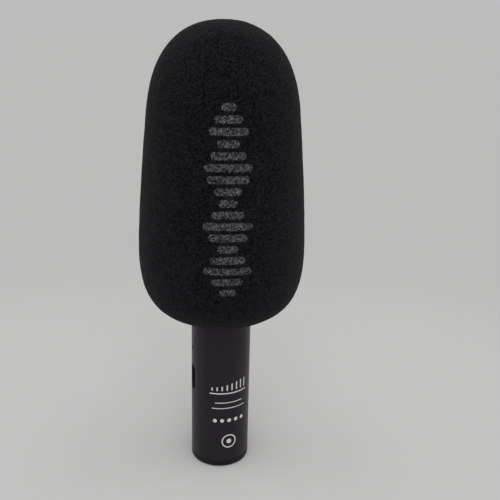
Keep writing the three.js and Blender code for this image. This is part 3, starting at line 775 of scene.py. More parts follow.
def lens_finish():
    """Smoked clear plastic of the light pipe."""
    finish = Finish("clear_plastic")
    cloud = finish.noise(0.6 * MM)
    return finish.surface(
        Base_Color=finish.blend(cloud, (0.008, 0.008, 0.009), (0.02, 0.02, 0.021)),
        Roughness=0.3 + cloud * 0.1,
        IOR=1.49,
        Specular_IOR_Level=0.3,
    )


def floor_finish(settings):
    """Matt pale sheet with painted light: lighter near the microphone and a little greyer away from it."""
    finish = Finish("floor")
    x, y, _ = finish.axes()
    # Painted light: the floor is painted lighter near the microphone and greyer farther off.
    far = finish.fade(length_of(x, y), 0.06, 0.28)
    shade = far + (1.0 - far) * finish.noise(0.35) * 0.3
    tone = finish.blend(shade, settings.floor_colour, dimmed(settings.floor_colour, 0.84))
    return finish.surface(Base_Color=tone, Roughness=0.95, Specular_IOR_Level=0.1)


# Settings that a user would change

def colour_setting(name, description, default):
    return bpy.props.FloatVectorProperty(
        name=name, description=description, default=default, min=0, max=1, size=3, subtype="COLOR"
    )


def number_setting(name, description, default, highest, lowest=0.0, **kind):
    """A number from lowest to highest; kind gives its unit or subtype."""
    return bpy.props.FloatProperty(
        name=name, description=description, default=default, min=lowest, max=highest, precision=5, **kind
    )


def size_setting(name, description, default, highest):
    return number_setting(name, description, default, highest, unit="LENGTH")


class FoamSettings(bpy.types.PropertyGroup):
    foam_colour: colour_setting("Foam", "Colour of the foam's struts", (0.0112, 0.0106, 0.0166))
    ink_colour: colour_setting("Ink", "Colour of the bars printed on the foam", (0.165, 0.17, 0.185))
    cell_size: size_setting("Cell size", "Width of a foam cell", 0.42 * MM, 5 * MM)
    cell_depth: size_setting("Cell depth", "Depth of the pores", 0.12 * MM, 5 * MM)
    voxel: size_setting("Grain", "Edge length of the foam's mesh", 0.58 * MM, 5 * MM)
    relief: size_setting("Relief", "Height of the cells in the mesh", 0.12 * MM, 2 * MM)
    lumps: size_setting("Lumps", "Height of the foam's slow unevenness", 0.25 * MM, 2 * MM)
    bar_length: size_setting("Bar length", "Length of the longest printed bar", 15.6 * MM, 40 * MM)
    bar_thickness: size_setting("Bar thickness", "Thickness of the printed bars", 2.3 * MM, 10 * MM)


class MetalSettings(bpy.types.PropertyGroup):
    coating_colour: colour_setting("Coating", "Colour of the satin coating", (0.0058, 0.0046, 0.0064))
    coating_tint: colour_setting("Coating tint", "Purple tint in the coating", (0.0086, 0.0034, 0.0091))
    print_colour: colour_setting("Print", "Colour of the marks on the barrel", (0.52, 0.52, 0.5))
    steel_colour: colour_setting("Steel", "Colour of the plated steel", (0.6, 0.61, 0.62))
    tin_colour: colour_setting("Tin", "Colour of solder and tinned ends", (0.62, 0.62, 0.6))
    brass_colour: colour_setting("Brass", "Colour of the turned brass", (0.62, 0.44, 0.18))
    gold_colour: colour_setting("Gold", "Colour of the plated contacts", (0.75, 0.55, 0.2))
    mesh_colour: colour_setting("Mesh", "Colour of the woven wire", (0.12, 0.12, 0.125))
    edge: size_setting("Edge", "Width of the broken edges of the machined pieces", 0.1 * MM, 1 * MM)
    # Painted shade: the rear cap is painted darker than the barrel, for the shade near the floor.
    cap_painted_shade: number_setting("Cap shade", "How light the rear cap is next to the barrel", 0.66, 1)


class InsideSettings(bpy.types.PropertyGroup):
    plastic_colour: colour_setting("Plastic", "Colour of the black plastic", (0.018, 0.018, 0.02))
    ivory_colour: colour_setting("Insulator", "Colour of the ivory plastic", (0.66, 0.62, 0.52))
    board_colour: colour_setting("Board", "Colour of the solder mask", (0.02, 0.085, 0.045))
    red_wire_colour: colour_setting("Signal lead", "Colour of the signal lead", (0.35, 0.04, 0.03))
    black_wire_colour: colour_setting("Ground lead", "Colour of the ground lead", (0.02, 0.02, 0.02))


class StageSettings(bpy.types.PropertyGroup):
    floor_colour: colour_setting("Floor", "Colour of the floor", (0.54, 0.54, 0.535))
    surround: number_setting("Surround", "Strength of the light from all round", 0.5, 5)
    backdrop: number_setting("Backdrop", "Brightness of what shows past the floor", 0.506, 1)
    lamps: number_setting("Lamps", "Light that the soft lamps throw on the floor", 0.6, 5)
    camera_turn: number_setting(
        "Camera turn",
        "How far the camera stands round from the plain front",
        math.radians(-18.4),
        math.pi,
        -math.pi,
        subtype="ANGLE",
    )
    camera_distance: size_setting("Camera distance", "Distance of the camera from the axis", 230.14 * MM, 5)
    camera_height: size_setting("Camera height", "Height of the camera over the floor", 155.25 * MM, 5)


def chosen(context):
    """The settings of the metal pieces and of the pieces inside."""
    return context.scene.microphone_metal, context.scene.microphone_inside


class BuildStage(bpy.types.Operator):
    """Add the floor, the soft light and the camera"""

    bl_idname = "microphone.stage"
    bl_label = "Stage"

    # Turn from the camera, height angle and spread in degrees, and share of the lamps' light
    SOFT_LIGHTS = (
        ("left", -70, 45, 80, 0.28),
        ("right", 70, 45, 80, 0.31),
        ("front", 0, 35, 50, 0.32),
        ("top", 0, 85, 60, 0.09),
    )

    def execute(self, context):
        settings = context.scene.microphone_stage
        rings = (0, 1.2, 4, 12)
        floor = lathe("floor", [(radius, 0) for radius in rings], INNER_FLATS)
        floor.data.materials.append(floor_finish(settings))

        self.add_surround(context, settings)
        for name, turn, lift, spread, share in self.SOFT_LIGHTS:
            direction = settings.camera_turn + math.radians(turn)
            self.add_light(name, direction, math.radians(lift), math.radians(spread), settings.lamps * share)
        self.add_camera(context, settings)
        context.scene.view_settings.view_transform = "Standard"
        return {"FINISHED"}

    def add_surround(self, context, settings):
        """Lights the object evenly from all round, and shows the floor's shade past the floor's edge."""
        sky = Finish("surround", bpy.data.worlds)
        kinds = ("Is Camera Ray", "Is Glossy Ray", "Is Transmission Ray")
        seen = most(*(sky.node("ShaderNodeLightPath", output=kind) for kind in kinds))
        strength = settings.surround + seen * (settings.backdrop - settings.surround)
        light = sky.node("ShaderNodeBackground", None, {"Color": (1, 1, 1), "Strength": strength})
        context.scene.world = sky.close(light, "ShaderNodeOutputWorld")

    def add_light(self, name, turn, lift, spread, level):
        """Adds a wide soft light from a direction round the microphone, by how bright it makes the floor."""
        away = Vector((math.sin(turn) * math.cos(lift), -math.cos(turn) * math.cos(lift), math.sin(lift)))
        facing = away.to_track_quat("Z", "Y").to_euler()
        light = add(name + "_light", bpy.ops.object.light_add, type="SUN", location=away, rotation=facing)
        light.data.angle = spread
        light.data.energy = level * math.pi / math.sin(lift)

    def add_camera(self, context, settings):
        """Stands the camera where the photograph was taken, aimed a little past the microphone."""
        down, aside, tilt = 0.3145, 0.0421, 0.0247
        ahead = Vector((math.sin(aside) * math.cos(down), math.cos(aside) * math.cos(down), -math.sin(down)))
        right = Vector((math.cos(aside), -math.sin(aside), 0))
        level = Matrix((right, right.cross(ahead), -ahead)).transposed().to_4x4()
        turn = Matrix.Rotation(settings.camera_turn, 4, "Z")
        stand = Matrix.Translation((0, -settings.camera_distance, settings.camera_height))
        pose = turn @ stand @ level @ Matrix.Rotation(tilt, 4, "Z")
        bpy.ops.object.camera_add(location=pose.translation, rotation=pose.to_euler())
        camera = context.object
        camera.data.sensor_width = 36
        camera.data.lens = 50.4
        camera.data.clip_start = 0.005
        context.scene.camera = camera


class BuildWindshield(bpy.types.Operator):
    """Model the moulded foam windshield with its open cells and printed bars"""

    bl_idname = "microphone.windshield"
    bl_label = "Windshield"

    def execute(self, context):
        settings = context.scene.microphone_foam
        foam = lathe("windshield_foam", foam_outline(), flats=128)
        foam.data.remesh_voxel_size = settings.voxel
        bpy.ops.object.voxel_remesh()
        modify(foam, "SMOOTH", factor=0.5, iterations=4)
        self.raise_grain(foam, "foam_lumps", size=7 * MM, height=settings.lumps)
        self.raise_grain(foam, "foam_cells", size=0.6 * MM, height=settings.relief)
        bpy.ops.object.shade_smooth()
        place_piece(foam, "foam", foam_finish(settings), "foam_windshield", body="windshield")
        return {"FINISHED"}

    def raise_grain(self, foam, name, size, height):
        """Moves the surface in and out by a cloud pattern."""
        pattern = bpy.data.textures.new(name, "CLOUDS")
        pattern.noise_scale = size
        modify(foam, "DISPLACE", texture=pattern, texture_coords="LOCAL", strength=height, mid_level=0.55)
        bpy.data.textures.remove(pattern)


def port_bar(name, growth, start, end, flats):
    """A bar along X with the data port's outline, made wider by a growth."""
    thickness, width = PORT_THICKNESS + growth, PORT_WIDTH + growth
    return stadium_bar(name, thickness, width, start, end, PORT_HEIGHT, upright=True, flats=flats)


class BuildBarrel(bpy.types.Operator):
    """Model the barrel with its milled slots, vents, port cut-out and light hole"""

    bl_idname = "microphone.barrel"
    bl_label = "Barrel"

    def execute(self, context):
        metal, _ = chosen(context)
        inner, past = BARREL_RADIUS - BARREL_WALL, BARREL_RADIUS + PAST
        foot, top = CAP_FLANGE + SEAM, NOSE_SHOULDER - SEAM
        profile = ring_profile(BARREL_RADIUS, inner, foot, top, metal.edge)
        barrel = lathe("barrel_tube", profile, BARREL_FLATS)
        heights = [SLOT_HIGHEST - index * SLOT_PITCH for index in range(SLOT_COUNT)]
        slot = stadium_bar("slot_cutter", SLOT_HEIGHT, SLOT_SPAN, -past, past, 0)
        cutters = [
            spread(slot, [(0, 0, z) for z in (*heights, *VENT_HEIGHTS)]),
            port_bar("port_cutter", 2 * PORT_MARGIN, -past, 0, flats=48),
            rod("light_cutter", LIGHT_HOLE, (-past, 0, LIGHT_HEIGHT), (0, 0, LIGHT_HEIGHT), SMALL_FLATS),
        ]
        cut(barrel, merged("cutters", cutters))
        smooth(break_edges(barrel, metal.edge), angle=32)
        finish = coated_finish("satin_black_printed", metal, marked=True)
        place_piece(barrel, "satin_black_metal", finish, "barrel")
        return {"FINISHED"}


class BuildEndCap(bpy.types.Operator):
    """Model the rear cap with its spigot and screw bosses, and the socket's ferrule"""

    bl_idname = "microphone.end_cap"
    bl_label = "Rear cap"

    def execute(self, context):
        metal, _ = chosen(context)
        hole_edge = 0.25 * MM
        profile = [
            (CAP_HOLE + hole_edge, 0),
            *round_over(BARREL_RADIUS - CAP_EDGE, CAP_EDGE, CAP_EDGE, -90, 0),
            (BARREL_RADIUS, CAP_FLANGE - metal.edge), (BARREL_RADIUS - metal.edge, CAP_FLANGE),
            (LINING_RADIUS, CAP_FLANGE), (LINING_RADIUS, CAP_TOP - CHAMFER),
            (LINING_RADIUS - CHAMFER, CAP_TOP), (CAP_SPIGOT_INNER, CAP_TOP),
            (CAP_SPIGOT_INNER, CAP_FLANGE), (CAP_HOLE, CAP_FLANGE),
            (CAP_HOLE, hole_edge), (CAP_HOLE + hole_edge, 0),
        ]
        cap = lathe("rear_cap", profile, BARREL_FLATS)
        foot, top, floor = CAP_FLANGE - CHAMFER, CAP_TOP + PAST, CAP_FLANGE + MM
        bosses, pilots = [], []
        for x, y in CAP_SCREWS:
            bosses.append(rod("boss", BOSS_RADIUS, (x, y, foot), (x, y, CAP_TOP), SMALL_FLATS))
            pilots.append(rod("pilot", SCREW_HOLE, (x, y, floor), (x, y, top)))
        cut(cut(cap, *bosses, operation="UNION"), *pilots)
        # Painted shade: the rear cap's coating is darkened by its painted shade.
        finish = coated_finish("satin_black_cap", metal, shade=metal.cap_painted_shade)
        place_piece(smooth(cap), "satin_black_metal", finish, "end_cap")

        _, low, high = across("jack_ferrule")
        inner, outer, lead_in, edge = SOCKET_RADIUS, FERRULE_RADIUS, 0.35 * MM, 0.12 * MM
        ring = [(inner + lead_in, low), (outer - edge, low), (outer, low + edge), (outer, high)]
        ring += [(inner, high), (inner, low + lead_in), (inner + lead_in, low)]
        gold = metal_finish("gold_plate", metal.gold_colour, roughness=0.2)
        place_piece(smooth(lathe("socket_ferrule", ring, flats=64)), "gold_plate", gold, "jack_ferrule")
        return {"FINISHED"}


class BuildNose(bpy.types.Operator):
    """Model the nose ring, its perforated grille and the felt behind it"""

    bl_idname = "microphone.nose"
    bl_label = "Nose"

    def execute(self, context):
        metal, _ = chosen(context)
        lip = NOSE_TOP - NOSE_LIP
        profile = [
            (BARREL_RADIUS - metal.edge, NOSE_SHOULDER), (BARREL_RADIUS, NOSE_SHOULDER + metal.edge),
            *round_over(BARREL_RADIUS - NOSE_EDGE, NOSE_TOP - NOSE_EDGE, NOSE_EDGE, 0, 90),
            (NOSE_WINDOW + CHAMFER, NOSE_TOP), (NOSE_WINDOW, NOSE_TOP - CHAMFER),
            (NOSE_WINDOW, lip), (NOSE_INNER, lip), (NOSE_INNER, NOSE_FOOT),
            (LINING_RADIUS - CHAMFER, NOSE_FOOT), (LINING_RADIUS, NOSE_FOOT + CHAMFER),
            (LINING_RADIUS, NOSE_SHOULDER), (BARREL_RADIUS - metal.edge, NOSE_SHOULDER),
        ]
        ring = smooth(lathe("nose_cap", profile, BARREL_FLATS))
        place_piece(ring, "satin_black_metal", coated_finish("satin_black_nose", metal), "nose_ring")

        outline = disc_profile(GRILLE_RADIUS, GRILLE_FOOT, GRILLE_TOP, edge=0.08 * MM)
        plate = join_flats(lathe("nose_perforated_plate", outline, flats=72))
        drill = rod("drill", HOLE_RADIUS, (0, 0, GRILLE_FOOT - PAST), (0, 0, GRILLE_TOP + PAST), flats=16)
        cut(plate, spread(drill, self.hole_places()))
        steel = metal_finish("mesh", metal.mesh_colour, 0.38, (1, 1, 1))
        place_piece(smooth(break_edges(plate, width=0.06 * MM, segments=1)), "mesh", steel, "nose_grille")

        felt = lathe("nose_felt", disc_profile(FELT_RADIUS, FELT_FOOT, FELT_TOP, edge=0.15 * MM), flats=48)
        place_piece(smooth(felt, angle=40), "felt", felt_finish(), "front_felt")
        return {"FINISHED"}

    def hole_places(self):
        """The hexagonal pattern of the grille's holes."""
        places = []
        for row in range(-HOLE_RINGS, HOLE_RINGS + 1):
            in_row = 2 * HOLE_RINGS + 1 - abs(row)
            for place in range(in_row):
                x = (place - (in_row - 1) / 2) * HOLE_PITCH
                places.append((x, row * HOLE_PITCH * math.sin(math.pi / 3), 0))
        return places


class BuildSleeves(bpy.types.Operator):
    """Model the mesh sleeves that line the barrel behind its slots and vents"""

    bl_idname = "microphone.sleeves"
    bl_label = "Mesh sleeves"

    def execute(self, context):
        weave = mesh_finish("woven_mesh", chosen(context)[0])
        spans = {"slot_mesh": (SLEEVE_FOOT, SLEEVE_TOP), "vent_mesh": (VENT_SLEEVE_FOOT, VENT_SLEEVE_TOP)}
        for name, (foot, top) in spans.items():
            profile = ring_profile(LINING_RADIUS, LINING_RADIUS - SLEEVE_WALL, foot, top, edge=0.05 * MM)
            place_piece(smooth(lathe(name, profile, INNER_FLATS)), "mesh", weave, name + "_sleeve")
        return {"FINISHED"}


class BuildDataPort(bpy.types.Operator):
    """Model the data port: its drawn shell, its insert with the tongue, and the contacts"""

    bl_idname = "microphone.data_port"
    bl_label = "Data port"

    def execute(self, context):
        metal, inside = chosen(context)
        mouth, back = (corner.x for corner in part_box("usb_c_shell"))
        tongue_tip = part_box("usb_c_insert")[0].x
        shell = port_bar("port_shell", 0, mouth, back, flats=64)
        cut(shell, port_bar("port_hollow", -2 * PORT_WALL, mouth - PAST, back + PAST, flats=64))
        # The port's shell is given a near-black colour.
        port_metal = metal_finish("near_black_port_metal", (0.022, 0.022, 0.024), 0.32)
        shell = smooth(break_edges(shell, width=0.1 * MM, segments=3), angle=35)
        place_piece(shell, "satin_black_metal", port_metal, "usb_c_shell")

        half_width, half_thickness, play = 3.3 * MM, 0.35 * MM, 0.3 * MM
        body = port_bar("port_insert", -2 * (PORT_WALL + play), back - 2.2 * MM, back, flats=48)
        low = (tongue_tip, -half_thickness, PORT_HEIGHT - half_width)
        tongue = block("tongue", low, (back - 1.1 * MM, half_thickness, PORT_HEIGHT + half_width))
        cut(body, tongue, operation="UNION")
        plastic = moulded_finish("black_plastic", inside.plastic_colour, roughness=0.45)
        body = smooth(break_edges(body, width=0.12 * MM), angle=35)
        place_piece(body, "black_plastic", plastic, "usb_c_insert")

        half, row, pitch = 0.125 * MM, 12, 0.5 * MM
        sunk, proud = 0.31 * MM, 0.39 * MM
        low, high = (tongue_tip + 0.35 * MM, sunk, -half), (back - 2.3 * MM, proud, half)
        strip = block("contact", low, high, edge=0.02 * MM, segments=1)
        other = copy_of(strip, "contact", turn=(math.pi, 0, 0))
        heights = [(0, 0, PORT_HEIGHT + (index - (row - 1) / 2) * pitch) for index in range(row)]
        contacts = smooth(merged("port_contacts", [spread(strip, heights), spread(other, heights)]))
        place_piece(contacts, "gold_plate", metal_finish("gold_contacts", metal.gold_colour, roughness=0.2))
        return {"FINISHED"}


class BuildStatusLight(bpy.types.Operator):
    """Model the light pipe with its domed end and its flange"""

    bl_idname = "microphone.status_light"
    bl_label = "Status light"

    def execute(self, context):
        low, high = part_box("light_pipe")
        recess, flange, thickness, edge = 0.3 * MM, high.y, 0.5 * MM, 0.08 * MM
        front, shoulder = low.x + recess, high.x - thickness
        profile = [(0, front), (0.2 * MM, front + 0.02 * MM), (0.38 * MM, front + 0.09 * MM)]
        profile += [(LIGHT_RADIUS, front + 0.25 * MM), (LIGHT_RADIUS, shoulder), (flange - edge, shoulder)]
        profile += [(flange, shoulder + edge), (flange, high.x), (0, high.x)]
        pipe = lathe("status_light_pipe", profile, SMALL_FLATS)
        lay(pipe, turn=(0, math.pi / 2, 0), place=(0, 0, LIGHT_HEIGHT))
        place_piece(smooth(pipe, angle=40), "clear_plastic", lens_finish(), "light_pipe")
        return {"FINISHED"}


class BuildCapsule(bpy.types.Operator):
    """Model the rubber boot and the capsule in it: can, diaphragm, backplate and their rings"""

    bl_idname = "microphone.capsule"
    bl_label = "Capsule"

    def execute(self, context):
        metal, inside = chosen(context)
        self.add_boot()
        self.add_can(metal)
        brass = metal_finish("brass", metal.brass_colour, roughness=0.28)
        ivory = moulded_finish("ivory_plastic", inside.ivory_colour)
        rings = (
            ("diaphragm_clamp", "diaphragm_ring", "brass", brass, 0.06 * MM),
            ("diaphragm_shim", "diaphragm_spacer", "ivory_plastic", ivory, 0.02 * MM),
            ("backplate_holder", "backplate_insulator", "ivory_plastic", ivory, 0.12 * MM),
        )
        for name, node, slot, finish, edge in rings:
            profile = ring_profile(STACK_RADIUS, STACK_INNER, *across(node)[1:], edge)
            place_piece(smooth(lathe(name, profile, INNER_FLATS)), slot, finish, node)

        skin = self.disc("diaphragm_skin", *across("diaphragm")[1:], edge=0.01 * MM)
        place_piece(smooth(skin), "film", film_finish(), "diaphragm")
        foot, top = across("backplate")[1:]
        plate = join_flats(self.disc("pierced_backplate", foot, top, edge=0.08 * MM))
        cut(plate, self.hole_circle(foot, top, circle=3.2 * MM, radius=0.5 * MM))
        place_piece(smooth(break_edges(plate, width=0.05 * MM, segments=1)), "brass", brass, "backplate")
        self.add_board(metal, inside)
        return {"FINISHED"}

    def disc(self, name, foot, top, edge):
        return lathe(name, disc_profile(STACK_RADIUS, foot, top, edge), INNER_FLATS)

    def hole_circle(self, foot, top, circle, radius):
        """Six bars through a plate, evenly round the axis."""
        first = rod("hole", radius, (circle, 0, foot - PAST), (circle, 0, top + PAST), SMALL_FLATS)
        turned = [copy_of(first, "hole", turn=(0, 0, index * math.pi / 3)) for index in range(1, 6)]
        return merged("holes", [first, *turned])

    def add_boot(self):
        """The rubber ring: two round flanges, a groove with one bead between them, a lip over the can."""
        foot, top, size, bead_steps = BOOT_FOOT, BOOT_TOP, 0.3 * MM, 6
        flange, groove = LINING_RADIUS - size, LINING_RADIUS - 0.6 * MM
        inner, lip, middle = CAPSULE_RADIUS + CHAMFER, CAPSULE_RADIUS - MM, (foot + top) / 2
        profile = [
            (inner + CHAMFER, foot), (flange, foot),
            *round_over(flange, foot + size, size, -75, 0, 4),
            *round_over(flange, foot + 1.2 * MM, size, 0, 60, 4),
            (groove, foot + 2 * MM),
        ]
        for step in range(bead_steps + 1):
            swell = 0.35 * MM * math.sin(math.pi * step / bead_steps)
            profile.append((groove + swell, middle + (step - bead_steps / 2) * 0.12 * MM))
        profile += [
            (groove, top - 2 * MM),
            *round_over(flange, top - 1.2 * MM, size, -60, 0, 4),
            *round_over(flange, top - size, size, 0, 90, 4),
            (lip + CHAMFER, top), (lip, top - CHAMFER), (lip, top - MM),
            (inner, top - MM), (inner, foot + CHAMFER), (inner + CHAMFER, foot),
        ]
        boot = smooth(lathe("rubber_boot", profile, INNER_FLATS), angle=40)
        place_piece(boot, "rubber", rubber_finish(), "capsule_boot")

    def add_can(self, metal):
        """The capsule's drawn can: a pierced face, and a foot rolled over the board."""
        foot, top, wall, hole = CAPSULE_FOOT, CAPSULE_TOP, 0.35 * MM, 0.7 * MM
        roll, turned = 0.4 * MM, 0.3 * MM
        inner, face = CAPSULE_RADIUS - wall, top - 0.5 * MM
        rim = inner - 0.8 * MM
        profile = [
            (0, top),
            *round_over(CAPSULE_RADIUS - roll, top - roll, roll, 90, 0, 6),
            *round_over(CAPSULE_RADIUS - turned, foot + turned, turned, 0, -90, 5),
            (rim + 0.05 * MM, foot), (rim, foot + 0.1 * MM), (rim, foot + wall),
            (inner, foot + wall), (inner, face), (0, face),
        ]
        can = join_flats(lathe("capsule_housing", profile, INNER_FLATS))
        middle = rod("port", hole, (0, 0, face - PAST), (0, 0, top + PAST), SMALL_FLATS)
        ring = self.hole_circle(face, top, circle=3.4 * MM, radius=hole)
        cut(can, merged("ports", [ring, middle]))
        steel = metal_finish("plated_steel", metal.steel_colour, roughness=0.25)
        place_piece(smooth(can), "bright_metal", steel, "capsule_can")

    def add_board(self, metal, inside):
        """The capsule's round board with its transistor on three bent legs."""
        thickness, lift, height = 0.8 * MM, 0.08 * MM, 0.9 * MM
        top = DISC_BOARD_FOOT + thickness
        disc = join_flats(self.disc("capsule_disc_board", DISC_BOARD_FOOT, top, edge=0.06 * MM))
        place_piece(smooth(disc), "board_green", board_finish(inside, True), "capsule_board")
        half, leg_spread = 0.55 * MM, 0.35 * MM
        low, high = (-half, -half, top + lift), (half, half, top + height)
        plastic = moulded_finish("transistor_black", inside.plastic_colour)
        place_piece(smooth(block("transistor", low, high, edge=0.08 * MM)), "black_plastic", plastic)
        path = [(0.52, 0.45), (0.64, 0.42), (0.68, 0.1), (0.86, 0.04)]
        leg = bent_strip("leg", in_metres(path), width=0.22 * MM, thickness=0.08 * MM)
        legs = [copy_of(leg, "leg", (0, 0, math.pi), (x, 0, top)) for x in (-leg_spread, leg_spread)]
        legs.append(lay(leg, place=(0, 0, top)))
        tin = metal_finish("tinned", metal.tin_colour, roughness=0.3)
        place_piece(smooth(merged("transistor_legs", legs)), "bright_metal", tin)


class BuildLeads(bpy.types.Operator):
    """Model the two leads from the capsule to the main board, with the solder at their ends"""

    bl_idname = "microphone.leads"
    bl_label = "Leads"

    def execute(self, context):
        metal, inside = chosen(context)
        leads = (
            ("signal", 1, "wire_red", inside.red_wire_colour),
            ("ground", -1, "wire_black", inside.black_wire_colour),
        )
        dome = [(0, 0), (0.62, 0), (0.5, 0.12), (0.42, 0.3), (0.34, 0.48), (0.18, 0.58), (0, 0.6)]
        drop = lathe("drop", in_metres(dome), flats=24)
        drops = []
        for name, side, slot, colour in leads:
            node = "capsule_lead_" + name
            x, top = side * LEAD_SPREAD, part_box(node)[1].z
            rest = PART_SEAT - LEAD_RADIUS
            path = [(0, top), (0, top - 1.3 * MM), (0, top - 2.6 * MM)]
            path += [(0.25 * rest, 64.4 * MM), (0.75 * rest, 60.2 * MM)]
            path += [(rest, LEAD_PAD + 3.6 * MM), (rest, LEAD_PAD + 1.6 * MM), (rest, LEAD_PAD)]
            lead = wire(name + "_lead", [(x, y, z) for y, z in path], LEAD_RADIUS)
            place_piece(lead, slot, moulded_finish(slot, colour, roughness=0.35), node)
            drops.append(copy_of(drop, "drop", (math.pi, 0, 0), (x, 0, DISC_BOARD_FOOT)))
            drops.append(copy_of(drop, "drop", (math.pi / 2, 0, 0), (x, BOARD_FRONT, LEAD_PAD)))
        bpy.data.objects.remove(drop)
        tin = metal_finish("solder", metal.tin_colour, roughness=0.22)
        place_piece(smooth(merged("solder_joints", drops), angle=50), "bright_metal", tin)
        return {"FINISHED"}


class BuildMainBoard(bpy.types.Operator):
    """Model the main board with its gold pads and small soldered parts"""

    bl_idname = "microphone.main_board"
    bl_label = "Main board"

    # Middles of the small chips in millimetres: two rows of four, and five more
    CHIPS = [(5.937 - 1.6 * column, 31 + 1.6 * row) for row in range(2) for column in range(4)]
    CHIPS += [(-5.6, 50.4), (-4.2, 50.4), (-5.6, 53.2), (4.6, 53.4), (6, 53.4)]
    COIL = (5.6, 36.4)
    REGULATOR = (1.9, 36.4)

    def execute(self, context):
        metal, inside = chosen(context)
        low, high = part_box("main_board")
        board = block("main_circuit_board", (low.x, BOARD_FRONT, low.z), (high.x, BOARD_BACK, high.z))
        half, notch_top, behind = 3.4 * MM, 16.1 * MM, 4 * MM
        notch = block("notch", (-half, 0, low.z - PAST), (half, behind, notch_top))
        ends = [((0, 0, z), (0, behind + PAST, z)) for z in BOARD_SCREWS]
        holes = [rod("hole", SCREW_HOLE, start, end, SMALL_FLATS) for start, end in ends]
        cut(board, notch, *holes)
        board = smooth(break_edges(board, width=0.05 * MM, segments=1))
        place_piece(board, "board_green", board_finish(inside), "main_board")
        self.add_pads(metal)
        self.add_parts(metal)
        return {"FINISHED"}

    def add_pads(self, metal):
        """Gold pads: under the two leads, a row of four, and a ring round each screw."""
        washer = lathe("pad", ring_profile(1.25 * MM, SCREW_HOLE, 0, 0.04 * MM, edge=0.01 * MM), flats=48)
        lay(washer, (math.pi / 2, 0, 0), (0, BOARD_FRONT, 0))
        under_leads = [(x / MM, LEAD_PAD / MM) for x in (-LEAD_SPREAD, LEAD_SPREAD)]
        pads = [
            *self.on_board((1.1, 1.5, 0.04), 0.01, under_leads),
            *self.on_board((0.7, 1.8, 0.04), 0.01, [(-6.6 + 1.3 * column, 26) for column in range(4)]),
            spread(washer, [(0, 0, z) for z in BOARD_SCREWS]),
        ]
        gold = metal_finish("gold_pads", metal.gold_colour, roughness=0.22)
        place_piece(smooth(merged("board_pads", pads)), "gold_plate", gold)

    def add_parts(self, metal):
        """The small chips, the coil and the regulator, and their tinned ends and legs."""
        bodies = [
            *self.on_board((0.46, 0.62, 0.46), 0.05, self.CHIPS),
            *self.on_board((2.4, 2.4, 1.2), 0.2, [self.COIL]),
            *self.on_board((1.3, 2.6, 0.9), 0.08, [self.REGULATOR]),
        ]
        stone = moulded_finish("ceramic", (0.16, 0.11, 0.075))
        place_piece(smooth(merged("small_parts", bodies)), "black_plastic", stone)

        chip_ends = [(x, z + side * 0.38) for x, z in self.CHIPS for side in (-1, 1)]
        x, z = self.COIL
        coil_ends = [(x + side * 1.15, z) for side in (-1, 1)]
        x, z = self.REGULATOR
        legs = [(x + side * 0.85, z + step * 0.95) for side in (-1, 1) for step in (-1, 0, 1)]
        ends = [
            *self.on_board((0.5, 0.24, 0.5), 0.05, chip_ends),
            *self.on_board((0.4, 1.6, 0.35), 0.05, coil_ends),
            *self.on_board((0.6, 0.34, 0.2), 0.05, legs),
        ]
        tin = metal_finish("tin_ends", metal.tin_colour, roughness=0.3)
        place_piece(smooth(merged("small_part_ends", ends)), "bright_metal", tin)

    def on_board(self, size, edge, places):
        """Blocks on the board's front face: width, length, height, edge and (x, z) in millimetres."""
        width, length, height = Vector(size) * MM
        low = (-width / 2, BOARD_FRONT - height, -length / 2)
        body = block("part", low, (width / 2, BOARD_FRONT, length / 2), edge * MM)
        blocks = [copy_of(body, "part", place=(x * MM, 0, z * MM)) for x, z in places]
        bpy.data.objects.remove(body)
        return blocks


